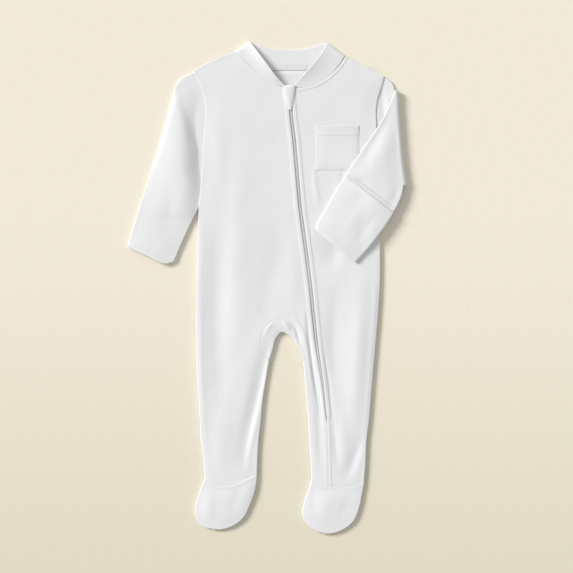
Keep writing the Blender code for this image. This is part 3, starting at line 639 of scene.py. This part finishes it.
# ---------------------------------------------------------------- the body

FRONT_ROWS = (spread(38, 1.6), spread(60, 1.2), spread(64), spread(32), spread(75, 1, 1.25))
KNEE = 3  # rows between a leg's seam with the gusset and its fold


def above(ankle):
    """A point of the ankle seam's upper side."""
    return ankle[0], ankle[1] + 0.1


def side_runs(name, armhole, over_sleeve, ankle):
    """A front's outer edge from the shoulder to the ankle."""
    side = column(TORSO, name)
    leg = column(LEGS[:-1], name + "_outer") + [above(ankle)]
    runs = [armhole, over_sleeve, side, [side[-1]] + leg[:2], leg[1:]]
    return list(zip(runs, FRONT_ROWS))


def zip_runs(side):
    """A front's edge beside the zip and then the leg seam, from the neck to the ankle."""
    heights = (ZIP_TOP, CHEST_Y, TORSO[-1].y, THIGH_Y, above(ANKLE_LEFT[2])[1])
    pairs = zip(heights[:-1], heights[1:])
    return [(beside_zip(top, bottom, side), rows) for (top, bottom), rows in zip(pairs, FRONT_ROWS[1:])]


def leg_inner(seam, name, ankle):
    """The runs of a leg's inner edge: from the gusset's seam out to the fold, then down the fold."""
    fold = column(LEGS[1:-1], name) + [above(ankle)]
    fold[0] = (fold[0][0], fold[0][1] - 2 * GAP)
    rows = 1 - (1 - np.linspace(0, 1, len(FRONT_ROWS[-1]) - KNEE)) ** 1.25
    return ([tuple(seam[-1]), fold[0]], KNEE), (fold, rows)


def front_right():
    """The right front in two strips that meet down the chest and part at the crotch: one runs into the
    right leg and the other into the inner half of the left leg."""
    arm, over, side, thigh, _ = FRONT_ROWS
    seam_right = moved([MIDDLE[-1]] + GUSSET_RIGHT, -0.05)
    seam_left = moved([MIDDLE[-1]] + GUSSET_LEFT, 0.05)
    crotch_top = np.array(MIDDLE[-1]) + (0, 0.05)
    seam_right[0] = seam_left[0] = crotch_top
    for seam in (seam_right, seam_left):
        seam[-1] -= (0, GAP)
    neck = moved(NECK_SEAM_RIGHT, -GAP)
    both = (len(over) + len(side) - 2) / FINE
    middle = ([tuple(neck[NECK_SPLIT])] + MIDDLE[1:-1] + [tuple(crotch_top)], spread(both, 1.12))
    outer = patch(
        SHOULDER_RIGHT[::-1],
        ANKLE_RIGHT,
        rail(*side_runs("right", ARMHOLE_RIGHT, OVER_SLEEVE_RIGHT, ANKLE_RIGHT[0])),
        rail(
            (neck[: NECK_SPLIT + 1], arm),
            middle,
            (seam_right, thigh),
            *leg_inner(seam_right, "right_inner", ANKLE_RIGHT[-1]),
        ),
        across(FOLD_COLUMNS, 44, FOLD_COLUMNS),
    )
    inner = patch(
        neck[NECK_SPLIT:],
        ANKLE_LEFT[:3],
        rail(middle, (seam_left, thigh), *leg_inner(seam_left, "left_inner", ANKLE_LEFT[0])),
        rail(*zip_runs(-1)),
        across(FOLD_COLUMNS, 14, ZIP_COLUMNS),
    )
    return [outer, inner]


def front_left():
    return patch(
        SHOULDER_LEFT,
        ANKLE_LEFT[2:],
        rail((moved(NECK_SEAM_LEFT, GAP), FRONT_ROWS[0]), *zip_runs(1)),
        rail(*side_runs("left", ARMHOLE_LEFT, OVER_SLEEVE_LEFT, ANKLE_LEFT[-1])),
        across(ZIP_COLUMNS, 44, FOLD_COLUMNS),
    )


def gusset():
    """The oval band round the crotch, from its seam with the front to the fold at the leg openings."""
    steps = len(FRONT_ROWS[3]) - 1
    seam = rail((GUSSET_RIGHT[::-1] + [MIDDLE[-1]], steps), ([MIDDLE[-1]] + GUSSET_LEFT, steps))
    columns = across((0.0, 0.5, 1.1, 1.8), 3, FOLD_COLUMNS)
    return patch([seam[0], CROTCH[0]], [seam[-1], CROTCH[-1]], seam, rail((CROTCH, 2 * steps)), columns)


def back_outline():
    """The back, inside the fronts' rolled edges and short of the sleeves' ends."""
    right_side, left_side = sides()
    right = [
        moved(rail((SHOULDER_RIGHT[:3], 8)), BACK_INSET)[1:],
        moved(rail((SLEEVE_RIGHT_END, 16)), 2 * GAP),
        moved(rail((SLEEVE_RIGHT_INNER[:3], 4)), 2 * GAP)[1:-1],
        moved(rail((right_side, 40)), BACK_INSET)[1:],
    ]
    left = [
        moved(rail((SHOULDER_LEFT[:3], 8)), -BACK_INSET)[1:],
        moved(rail((SLEEVE_LEFT_END, 12)), -2 * GAP),
        np.array([(134.5, 150), (136.3, 128)]),
        moved(rail((left_side, 40)), -BACK_INSET),
    ]
    legs_right = moved(rail((column(LEGS[1:], "right_inner")[::-1], 20)), BACK_INSET)
    legs_left = moved(rail((column(LEGS[1:], "left_inner"), 20)), BACK_INSET)
    ankle_right, ankle_left = [rail((line, 8))[1:-1] + (0, GAP) for line in (ANKLE_RIGHT, ANKLE_LEFT)]
    crotch = moved(rail((CROTCH, 24)), BACK_INSET)[1:-1]
    neck = rail((NECK_SEAM_BACK[::-1], 40)) - (0, GAP / 2)
    between = [ankle_right, legs_right, crotch, legs_left, ankle_left]
    upwards = [part[::-1] for part in left[::-1]]
    return np.concatenate(right + between + upwards + [neck[1:-1]])


def tucked_row(edge, plan):
    """The row of a seam allowance, in plan here and just under the piece that this edge is sewn to."""
    return with_height(plan, edge[:, 2] - CLOTH - 2 * LAYER_GAP)[:, None]


def make_body(jersey, thread):
    back = plate("back", back_outline(), jersey, "body_back")
    grids = [with_height(grid, front_height(grid)) for grid in front_right()]
    right = cloth("front_right", grids, jersey, "body_front_right")
    grid = front_left()
    left = cloth("front_left", [with_height(grid, front_height(grid))], jersey, "body_front_left")
    grid = gusset()
    shaped = with_height(grid, front_height(grid))
    shaped = np.concatenate([tucked_row(shaped[:, 0], moved(grid[:, 0], 1.2)), shaped], axis=1)
    crotch = cloth("gusset", [shaped[:, ::-1]], jersey, "crotch_gusset")
    runs = []
    for side in (-1, 1):
        line = np.array(beside_zip(ZIP_TOP - 1, ZIP_END - 6, side)) + (side * TURNED, 0)
        runs.append((line, front_height))
    neck_right, neck_left = neck_lines()
    runs.append((moved(neck_right, -3.6)[1:-2], front_height))
    runs.append((moved(neck_left, 3.6)[1:-2], front_height))
    end = np.array([(-TURNED, 0), (TURNED - 0.5, 0)]) + (zip_at(ZIP_END - 9), ZIP_END - 9)
    runs += [(end, front_height), (end + (0, 2.2), front_height)]
    seam = [(zip_at(y) + 3.2, y) for y in np.linspace(ZIP_END - 10, -238, 30)]
    runs.append((seam, front_height))
    runs += [(moved(line, 2.4)[2:-2], front_height) for line in ankle_lines()]
    runs.append((moved(gusset_line(), 2.2)[3:-3], front_height))
    sewn = stitches("front_stitches", runs, thread)


FOOT_CREASES = {
    "right": [
        ([(-70, -252), (-73, -270), (-72, -288)], 8, 8, 0.5),
        ([(-30, -246), (-38, -262), (-46, -280)], 6, 7, -0.5),
    ],
    "left": [
        ([(80, -254), (74, -274), (70, -292)], 9, 9, 0.5),
        ([(104, -256), (98, -275), (90, -292)], 7, 8, -0.45),
        ([(60, -252), (58, -268), (60, -284)], 4, 5, -0.3),
    ],
}


def make_foot(side, ankle, first, second, jersey, thread):
    """A foot's upper, rolled down to the surface all round, and its flat sole inside it."""
    rows = 0.25 * spread(60) + 0.75 * (0.5 - 0.5 * np.cos(np.pi * spread(60)))
    left, right = rail((first, rows)), rail((second, rows))
    seam_line = rail((ankle, 16))
    toe = [left[-1], (left[-1] + right[-1]) / 2 - (0, 0.6), right[-1]]
    grid = patch(ankle, toe, left, right, across(FOLD_COLUMNS, 30, FOLD_COLUMNS))
    outline = np.concatenate([left, toe[1:2], right[::-1]])

    def height(points):
        away = distance(points, outline)
        from_ankle = distance(points, seam_line)
        seam = allowance(from_ankle, 0.14, 3.4, 0.08)
        free = eased(away / FADE)
        loose = creased(points, FOOT_CREASES[side]) + uneven(points, 11, 0.8)
        fuller = eased(from_ankle / 20)
        crown = (CROWN + (FOOT_CROWN - CROWN) * fuller) * crowned(away)
        return RIM_Z + (EDGE_Z - RIM_Z) * rounded(away) + crown + free * (loose + seam)

    shaped = with_height(grid, height(grid))
    under = tucked_row(shaped[0], grid[0] + (0, 1.2)).transpose(1, 0, 2)
    upper = cloth("foot_" + side, [np.concatenate([under, shaped])], jersey, "foot_upper_" + side)
    sewn = stitches("foot_stitches_" + side, [(moved(seam_line, -3.4)[2:-2], height)], thread)
    start, end = rail((ankle, 8))[1:-1] - (0, GAP), moved(left, BACK_INSET)[1:]
    flat = np.concatenate([start[::-1], end, moved(right, -BACK_INSET)[:0:-1]])
    sole = plate("sole_" + side, flat, jersey, "foot_sole_" + side)


# ---------------------------------------------------------------- the sleeves


def half_thickness(away):
    return SLEEVE_Z / 2 * rounded(away)


def make_sleeve_right(jersey, thread):
    rows = spread(112, 1, 1.2)
    outer, inner = rail((SLEEVE_RIGHT_OUTER, rows)), rail((SLEEVE_RIGHT_INNER, rows))
    plan = patch(SLEEVE_RIGHT_END, CUFF_RIGHT, outer, inner, across(FOLD_COLUMNS, 34, FOLD_COLUMNS))
    cuff = rail((CUFF_RIGHT, 12))

    def middle_and_half(points):
        away = np.minimum(distance(points, outer), distance(points, inner))
        beyond = distance(points, cuff) - MITTEN_LENGTH
        base = (CLOTH + 2 * LAYER_GAP) * (1 - eased(beyond / 40))
        return base + SLEEVE_Z / 2, half_thickness(away), away

    def height(points):
        middle, half, away = middle_and_half(points)
        from_end = distance(points, rail((SLEEVE_RIGHT_END, 12)))
        crown = SLEEVE_CROWN * crowned(away) * eased((from_end - TUCK_CLEAR) / LIFT_REACH)
        tucked = eased((from_end - TUCK + 2) / 4)
        loose = creased(points, RIGHT_SLEEVE_CREASES) + uneven(points, 23, 0.9)
        tucked = np.where(loose > 0, tucked, 1)
        stitched_hem = hem(distance(points, cuff), 0.35, HEM)
        raised = middle + half + crown + tucked * eased(away / FADE) * loose + stitched_hem
        return np.maximum(raised, middle - half + np.minimum(2 * half, TUBE_LEAST))

    middle, half, _ = middle_and_half(plan)
    top, bottom = with_height(plan, height(plan)), with_height(plan, middle - half)
    sleeve = tube("sleeve_right", top, bottom, jersey, "sleeve_right")
    lines = [(moved(cuff, row)[1:-1], height) for row in HEM_STITCHES]
    sewn = stitches("cuff_stitches_right", lines, thread)
    from_cuff = lengths(outer - outer[-1])
    start = int(np.argmin(np.abs(from_cuff - 58)))
    flap = [moved(outer[start:], EDGE_ROUND), moved(inner[start:], -EDGE_ROUND)[::-1]]
    under = plate("mitten_right", np.concatenate(flap), jersey, "mitten_flap_right")


def folded_rest(points):
    """Underside of the folded sleeve: clear of the body's edge and the pocket, lower on the chest."""
    body_edge = rail((ARMHOLE_LEFT, 6), (OVER_SLEEVE_LEFT, 10), (column(TORSO, "left"), 10))
    inside = np.where(points[..., 0] < TORSO[0].left, distance(points, body_edge), 0)
    x, y = points[..., 0], points[..., 1]
    off_pocket = np.maximum(np.maximum(x - POCKET_X[1], POCKET_X[0] - x), POCKET_Y[1] - y)
    on_pocket = 1 - eased((off_pocket - PLATE_CLEAR) / PLATE_EASE)
    return FOLDED_Z - CHEST_DROP * eased((inside - PLATE_CLEAR) / DROP_REACH) * (1 - on_pocket)


def folded_plan():
    rows = spread(116, 1, 1.15)
    lower, upper = rail((SLEEVE_LEFT_BACK_LOWER, rows)), rail((SLEEVE_LEFT_BACK_UPPER, rows))
    columns = across(FOLD_COLUMNS, 36, FOLD_COLUMNS)
    return patch(SLEEVE_LEFT_FOLD[::-1], CUFF_LEFT[::-1], lower, upper, columns), lower, upper


def folded_heights(points, lower, upper):
    """Underside and top of the stretch that lies over the chest."""
    away = np.minimum(distance(points, lower), distance(points, upper))
    half = half_thickness(away)
    clear = distance(points, rail((SLEEVE_LEFT_FOLD, 8)))
    middle = folded_rest(points) + SLEEVE_Z / 2
    crown = SLEEVE_CROWN * crowned(away) * eased(clear / LIFT_REACH)
    loose = creased(points, LEFT_SLEEVE_CREASES) + uneven(points, 31, 0.9)
    loose *= eased(away / FADE) * eased(clear / 9)
    top = middle + half + crown + loose
    return middle - half, np.maximum(top, middle - half + np.minimum(2 * half, TUBE_LEAST))


def make_sleeve_left(jersey, thread):
    """One tube from under the body's edge out to the fold, round it, and back over the chest. A mitten
    lies folded over its cuff."""
    rows = spread(22)
    lower, upper = rail((SLEEVE_LEFT_OUT_LOWER, rows)), rail((SLEEVE_LEFT_OUT_UPPER, rows))
    columns = across(FOLD_COLUMNS, 36, FOLD_COLUMNS)
    out = patch(SLEEVE_LEFT_END[::-1], SLEEVE_LEFT_FOLD[::-1], lower, upper, columns)
    away = np.minimum(distance(out, lower), distance(out, upper))
    half = half_thickness(away)
    loose = creased(out, LEFT_OUT_CREASES) * eased(away / 4) * eased(distance(out, out[-1]) / 5)
    facing = with_height(out, SLEEVE_Z / 2 + half + loose)
    inner, outer = [facing], [with_height(out, SLEEVE_Z / 2 - half)]
    axis, depth = out[-1], half[-1]
    chord = axis[-1] - axis[0]
    outward = np.array([chord[1], -chord[0]]) / np.linalg.norm(chord)
    for turn in np.linspace(-np.pi / 2, np.pi / 2, fine(18) + 1)[1:-1]:
        for layer, radius in ((inner, FOLD_RADIUS - depth), (outer, FOLD_RADIUS + depth)):
            plan = axis + outward * (radius * np.cos(turn))[:, None]
            level = SLEEVE_Z / 2 + FOLD_RADIUS + radius * np.sin(turn)
            layer.append(with_height(plan, level)[None])
    plan, lower, upper = folded_plan()
    under, over = folded_heights(plan, lower, upper)
    inner.append(with_height(plan, under))
    outer.append(with_height(plan, over))
    sleeve = tube("sleeve_left", np.concatenate(inner), np.concatenate(outer), jersey, "sleeve_left")

    rows = spread(62, 1.15, 1.15)
    flap = patch(MITTEN_LEFT_EDGE, CUFF_LEFT[::-1], rail((MITTEN_LEFT_LOWER, rows)),
                 rail((MITTEN_LEFT_UPPER, rows)), across(FOLD_COLUMNS, 34, FOLD_COLUMNS))
    mouth, cuff = rail((MITTEN_LEFT_EDGE, 12)), rail((CUFF_LEFT, 12))

    def rise(points):
        away, share = beside(points, mouth)
        gape = 2.2 * np.sin(np.pi * share) ** 0.7 * np.exp(-np.abs(away) / 5)
        opening = 0.3 * (1 - eased((np.abs(away) - 5.6) / 1.4))
        return GAP / 2 + gape + opening + hem(distance(points, cuff), 0.3, HEM)

    def top(points):
        return folded_heights(points, lower, upper)[1] + rise(points) + CLOTH

    over = with_height(flap, folded_heights(flap, lower, upper)[1])
    lying = moved_out(over[:, ::-1], rise(flap)[:, ::-1])
    mitten = cloth("mitten_left", [lying], jersey, "mitten_flap_left", outwards=True)
    lines = [moved(mouth, d)[1:-1] for d in (-4.6, -5.9)] + [moved(cuff, d)[1:-1] for d in HEM_STITCHES]
    sewn = stitches("mitten_stitches_left", [(line, top) for line in lines], thread)


# ---------------------------------------------------------------- neckband, zip and pocket


def make_neckband(rib, thread):
    """One doubled strip: down both sides of the neck in front, turned over at the shoulder tips, and
    flat along the back. Its free edge stands up a little in front."""
    margin = np.array([0, 0.01, 0.03, 0.06, 0.1])
    shares = np.concatenate([margin, np.linspace(0.1, 0.9, fine(12) + 1)[1:-1], 1 - margin[::-1]])
    half = BAND_WALL / 2
    radius = (BAND_FRONT_Z - half) / 2
    rows = []

    def limb(seam, free, level, stand):
        steps = np.linspace(0, 1, len(seam))
        raised = stand * np.sin(np.pi * steps) ** 0.7
        for start, end, rise in zip(seam, free, raised):
            plan = start + shares[:, None] * (end - start)
            rows.append(with_height(plan, level + rise * shares**2.2 + 0.25 * np.sin(np.pi * shares)))

    def turn(start, end, outward, steps):
        for angle in steps:
            plan = start + shares[:, None] * (end - start) + np.multiply(outward, radius * np.cos(angle))
            rows.append(with_height(plan, np.full(len(shares), half + radius * (1 + np.sin(angle)))))

    def edges(seam, free, pull):
        steps = np.linspace(0, 1, fine(56) + 1)
        ease = pull * (1 - steps)[:, None]
        return along(seam, steps) - ease, along(free, steps) - ease

    pull = radius + half
    out_right, out_left = np.array([-0.56, 0.83]), np.array([0.64, 0.77])
    down = np.linspace(np.pi / 2, -np.pi / 2, fine(10) + 1)[1:-1]
    seam, free = edges(NECK_SEAM_RIGHT, NECK_FREE_RIGHT, pull * out_right)
    limb(seam[::-1], free[::-1], BAND_FRONT_Z, 8.0)
    turn(seam[0], free[0], out_right, down)
    back_seam, back_free = rail((NECK_SEAM_BACK, fine(70))), rail((NECK_FREE_BACK, fine(70)))
    for edge in (back_seam, back_free):
        edge[0] -= pull * out_right
        edge[-1] -= pull * out_left
    limb(back_seam, back_free, half, 0.0)
    seam, free = edges(NECK_SEAM_LEFT, NECK_FREE_LEFT, pull * out_left)
    turn(seam[0], free[0], out_left, down[::-1])
    limb(seam, free, BAND_FRONT_Z, 3.2)

    middle = np.array(rows)
    width = lengths(middle[:, -1] - middle[:, 0])[:, None]
    thick = rounded(np.minimum(shares, 1 - shares) * width, 0.9)
    step = np.linalg.norm(np.diff(middle[:, len(shares) // 2], axis=0), axis=1)
    at = np.concatenate([[0], np.cumsum(step)])
    thick *= rounded(np.minimum(at, at[-1] - at), 1.2)[:, None]
    top, bottom = moved_out(middle, half * thick), moved_out(middle, -half * thick)
    band = tube("neckband", top, bottom, rib, "neckband", 0)
    line = rail((NECK_SEAM_BACK, 60))[12:-12]
    sewn = stitches("neckband_stitches", [
        (line + (0, 3.4), lambda plan: np.full(len(plan), BAND_WALL + 0.25)),
        (line + (0, 6.2), lambda plan: np.full(len(plan), BAND_WALL + 0.25)),
    ], thread)


def strip(y, halves, height):
    """A grid of columns along the zip's line, as far from it as halves say."""
    plan = np.array([[(zip_at(v) + half, v) for half in halves] for v in y])
    return with_height(plan, height(plan))


def tape_top(plan):
    """Top of the zip's tape, under the fronts' turned edges."""
    return body_top(plan, from_folds(plan)) - CLOTH - LAYER_GAP


def make_zip(tape, coil):
    y = np.linspace(ZIP_TOP - 1, ZIP_END, fine(160))
    halves = np.linspace(-TAPE_HALF, TAPE_HALF, 15)
    woven = cloth("tape", [strip(y, halves, tape_top)], tape, "zip_tape", TAPE_WALL)
    y = np.arange(ZIP_END + 1, SLIDER_Y - 5, TOOTH_PITCH / 2)
    side = np.where(np.arange(len(y)) % 2, 1, -1)
    reach = np.interp(y, [ZIP_END, LEGS[0].y], [0.55, 1]) * TOOTH_REACH
    middle = np.stack([zip_at(y), y], axis=1)
    level = tape_top(middle) + 0.4
    starts = np.stack([middle[:, 0] + side * reach, y, level - 0.12], axis=1)
    ends = np.stack([middle[:, 0] - side * reach * 0.32, y, level + 0.12], axis=1)
    teeth = capsules("teeth", starts, ends, 0.42, coil, 0.9)
    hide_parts("zip_coil")


def make_guard(jersey):
    """The folded tab over the zip's top: a small puffed pocket that narrows to its lower end."""
    sides = rail((GUARD_RIGHT, fine(40))), rail((GUARD_LEFT, fine(40)))
    ends = [GUARD_RIGHT[-1], GUARD_LEFT[-1]]
    plan = patch(GUARD_TOP, ends, *sides, lambda width: 0.5 - 0.5 * np.cos(np.pi * np.linspace(0, 1, 23)))
    edge = np.concatenate([sides[0], sides[1][::-1], rail((GUARD_TOP, 6))[::-1]])
    away = distance(plan, edge)
    away[0] = away[-1] = away[:, 0] = away[:, -1] = 0
    down = np.linspace(0, 1, len(plan))[:, None]
    level = GUARD_Z + 0.2 - 1.1 * down**2
    puff = 0.75 * rounded(away, 1.0) + 0.7 * eased(away / 4.5)
    top, bottom = with_height(plan, level + puff), with_height(plan, level - 0.6 * rounded(away, 1.0))
    tab = tube("guard", top, bottom, jersey, "zip_guard", wall=0)


def make_pocket(jersey, thread):
    hem_depth = 12.0
    rows = np.concatenate([[0, 0.4, 0.9, 1.6, 2.6, 4, 6, 8, 9.6, 10.8, 11.4, 12, 12.6, 13.4, 15],
                           np.linspace(17, 50, fine(20)), [52, 53.4, 54.4, 55.1, 55.6, 56]])
    side = (0.0, 0.3, 0.7, 1.2, 1.9, 2.7, 3.3, 4.0, 5.0, 6.5)
    columns = across(side, 22, side)(POCKET_X[1] - POCKET_X[0])
    x = POCKET_X[0] + (POCKET_X[1] - POCKET_X[0]) * columns
    y = POCKET_Y[0] - rows
    plan = np.array([[(u, v) for u in x] for v in y])

    def height(points):
        from_side = np.minimum(points[..., 0] - POCKET_X[0], POCKET_X[1] - points[..., 0])
        down, up = POCKET_Y[0] - points[..., 1], points[..., 1] - POCKET_Y[1]
        sewn_edge = np.minimum(from_side, up)
        rise = 0.1 * (1 - eased((sewn_edge - 3.2) / 1.4)) - 0.4 * (1 - rounded(sewn_edge, 0.9))
        rise -= 0.15 * np.exp(-(((sewn_edge - 1.2) / 0.5) ** 2))
        across_mouth = np.sin(np.pi * np.clip(from_side / (POCKET_X[1] - POCKET_X[0]), 0, 1))
        gape = 0.9 * across_mouth * np.exp(-down / 7)
        rise += 0.28 * (1 - eased((down - hem_depth + 0.6) / 1.2)) + gape - 0.4 * (1 - rounded(down, 0.8))
        rise += 0.35 * eased(sewn_edge / 12) - 0.45 * (1 - eased(sewn_edge / 7)) * eased(down / 9)
        return front_height(points) + CLOTH + rise

    piece = cloth("pocket", [with_height(plan, height(plan))], jersey, "pocket")
    left, right, low = POCKET_X[0], POCKET_X[1], POCKET_Y[1]
    lines = [[(left, v), (right, v)] for v in (POCKET_Y[0] - hem_depth, POCKET_Y[0] - hem_depth - 4.4)]
    for inset in (1.2, 3.4):
        corners = [(left + inset, low + inset), (right - inset, low + inset)]
        lines.append([(left + inset, POCKET_Y[0] - 1), *corners, (right - inset, POCKET_Y[0] - 1)])
    sewn = stitches("pocket_stitches", [(line, height) for line in lines], thread)


# ---------------------------------------------------------------- materials


def put(node, values):
    """Sets these input sockets of a node."""
    for socket, value in values.items():
        node.inputs[socket].default_value = value


def principled(name, colour, roughness, sheen=0.0):
    made = bpy.data.materials.new(name)
    made.use_nodes = True
    surface = {"Base Color": (*colour, 1), "Roughness": roughness, "Specular IOR Level": 0.25}
    sheens = {"Sheen Weight": sheen, "Sheen Roughness": 0.5, "Metallic": 0.0}
    put(made.node_tree.nodes["Principled BSDF"], surface | sheens)
    return made


class Graph:
    """Short names for the nodes that a material's surface is built from."""

    def __init__(self, made):
        self.nodes, self.links = made.node_tree.nodes, made.node_tree.links
        self.shader = self.nodes["Principled BSDF"]
        self.place = self.nodes.new("ShaderNodeTexCoord").outputs["Object"]

    def math(self, operation, first, second=0.0):
        node = self.nodes.new("ShaderNodeMath")
        node.operation = operation
        for socket, value in zip(node.inputs, (first, second)):
            if isinstance(value, (int, float)):
                socket.default_value = value
            else:
                self.links.new(value, socket)
        return node.outputs[0]

    def turned(self, angle):
        node = self.nodes.new("ShaderNodeVectorRotate")
        node.rotation_type = "Z_AXIS"
        node.inputs["Angle"].default_value = angle
        self.links.new(self.place, node.inputs["Vector"])
        split = self.nodes.new("ShaderNodeSeparateXYZ")
        self.links.new(node.outputs[0], split.inputs[0])
        return split.outputs[0], split.outputs[1]

    def noise(self, scale, detail=2.0):
        node = self.nodes.new("ShaderNodeTexNoise")
        put(node, {"Scale": scale, "Detail": detail})
        self.links.new(self.place, node.inputs["Vector"])
        return node.outputs[0]

    def bump(self, height, strength, depth):
        node = self.nodes.new("ShaderNodeBump")
        put(node, {"Strength": strength, "Distance": depth})
        self.links.new(height, node.inputs["Height"])
        self.links.new(node.outputs[0], self.shader.inputs["Normal"])

    def mottle_and_painted_shade(self, amount, colour, darker):
        node = self.nodes.new("ShaderNodeMix")
        node.data_type = "RGBA"
        put(node, {"A": (*colour, 1), "B": (*darker, 1)})
        self.links.new(amount, node.inputs["Factor"])
        self.links.new(node.outputs["Result"], self.shader.inputs["Base Color"])


def knitted(name, colour, angle, wale, course, strength):
    """Jersey or rib: columns of V-shaped stitches along the piece, with a soft fuzz over them."""
    made = principled(name, colour, 0.92, sheen=0.22)
    graph = Graph(made)
    aside, along_piece = graph.turned(angle)
    column_at = graph.math("DIVIDE", aside, wale)
    fold = graph.math("PINGPONG", column_at, 0.5)
    slanted = graph.math("ADD", graph.math("DIVIDE", along_piece, course), fold)
    loop = graph.math("SINE", graph.math("MULTIPLY", slanted, 2 * np.pi))
    groove = graph.math("SINE", graph.math("MULTIPLY", fold, np.pi))
    knit = graph.math("MULTIPLY", groove, graph.math("MULTIPLY", loop, 0.3))
    both = graph.math("ADD", groove, knit)
    fuzz = graph.math("MULTIPLY", graph.noise(900, 3), 0.9)
    graph.bump(graph.math("ADD", both, fuzz), strength, 0.00012)
    darker = tuple(0.955 * part for part in colour)
    graph.mottle_and_painted_shade(graph.noise(26, 4), colour, darker)
    return made


def paper(name):
    """Cream paper with a fine fibrous grain. Its colour darkens towards the near edge, painted shade that
    stands in for the light falling off there.
    """
    made = principled(name, PAPER_FAR, 0.95)
    graph = Graph(made)
    _, y = graph.turned(0.0)
    # Painted shade: the colour darkens towards the near edge, in place of the light falling off.
    node = graph.nodes.new("ShaderNodeMapRange")
    node.interpolation_type = "SMOOTHSTEP"
    put(node, {"From Min": 0.12, "From Max": -0.42})
    graph.links.new(y, node.inputs["Value"])
    graph.mottle_and_painted_shade(node.outputs[0], PAPER_FAR, PAPER_PAINTED_SHADE)
    grain = graph.math("ADD", graph.noise(420, 4), graph.math("MULTIPLY", graph.noise(95, 3), 0.7))
    graph.bump(grain, 0.35, 0.0006)
    return made


PAPER_FAR = (0.885, 0.825, 0.69)
# The near edge's colour, painted shade: the paper darkens to it in place of the light falling off.
PAPER_PAINTED_SHADE = (0.755, 0.70, 0.555)
WHITE = (0.815, 0.816, 0.82)

# ---------------------------------------------------------------- ground, light and view

KEY_FROM = (-0.87, 0.49)  # in plan, towards the upper left
KEY_HEIGHT = 30.0  # degrees above the surface
KEY_WIDTH = 20.0  # degrees across, as a large soft source
KEY_POWER = 3.1
FILL = 0.51


def make_ground():
    mesh = bpy.data.meshes.new("ground")
    corners = [(-2, -2, -0.0002), (2, -2, -0.0002), (2, 2, -0.0002), (-2, 2, -0.0002)]
    mesh.from_pydata(corners, [], [(0, 1, 2, 3)])
    ground = bpy.data.objects.new("ground", mesh)
    mesh.materials.append(paper("paper"))
    bpy.context.scene.collection.objects.link(ground)


def make_light():
    lamp = bpy.data.lights.new("key", "SUN")
    lamp.angle = np.radians(KEY_WIDTH)
    lamp.energy = KEY_POWER
    lamp.color = (1.0, 0.995, 0.985)
    key = bpy.data.objects.new("key", lamp)
    rise = np.radians(KEY_HEIGHT)
    towards = Vector((KEY_FROM[0] * np.cos(rise), KEY_FROM[1] * np.cos(rise), np.sin(rise))).normalized()
    key.location = towards
    key.rotation_euler = towards.to_track_quat("Z", "Y").to_euler()
    bpy.context.scene.collection.objects.link(key)
    world = bpy.data.worlds.new("sky")
    world.use_nodes = True
    put(world.node_tree.nodes["Background"], {"Color": (0.985, 0.99, 1.0, 1), "Strength": FILL})
    bpy.context.scene.world = world


def make_view():
    camera = bpy.data.objects.new("camera", bpy.data.cameras.new("camera"))
    camera.data.lens = 85
    camera.data.sensor_width = 36
    camera.data.clip_end = 50
    camera.location = (0.0247, 0.0012, 1.694)
    bpy.context.scene.collection.objects.link(camera)
    bpy.context.scene.camera = camera
    bpy.context.scene.view_settings.view_transform = "Standard"


def main():
    jersey = knitted("jersey", WHITE, 0.0, 0.0009, 0.0007, 0.25)
    sleeve_right = knitted("jersey_right_sleeve", WHITE, -0.33, 0.0009, 0.0007, 0.25)
    sleeve_left = knitted("jersey_left_sleeve", WHITE, 0.69, 0.0009, 0.0007, 0.25)
    rib = knitted("rib", WHITE, 0.0, 0.0013, 0.0007, 0.25)
    thread = principled("thread", (0.79, 0.80, 0.81), 0.7, sheen=0.1)
    tape = principled("tape", (0.70, 0.71, 0.72), 0.85)
    coil = principled("coil", (0.72, 0.73, 0.75), 0.5)
    metal = principled("slider", (0.72, 0.73, 0.75), 0.4)
    make_ground()
    make_body(jersey, thread)
    make_foot("right", ANKLE_RIGHT, FOOT_RIGHT_OUTER, FOOT_RIGHT_INNER, jersey, thread)
    make_foot("left", ANKLE_LEFT, FOOT_LEFT_INNER, FOOT_LEFT_OUTER, jersey, thread)
    make_sleeve_right(sleeve_right, thread)
    make_pocket(jersey, thread)
    make_sleeve_left(sleeve_left, thread)
    make_neckband(rib, thread)
    make_zip(tape, coil)
    make_guard(jersey)
    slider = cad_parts["zip_slider"]
    slider.data.materials.clear()
    slider.data.materials.append(metal)
    make_light()
    make_view()


main()
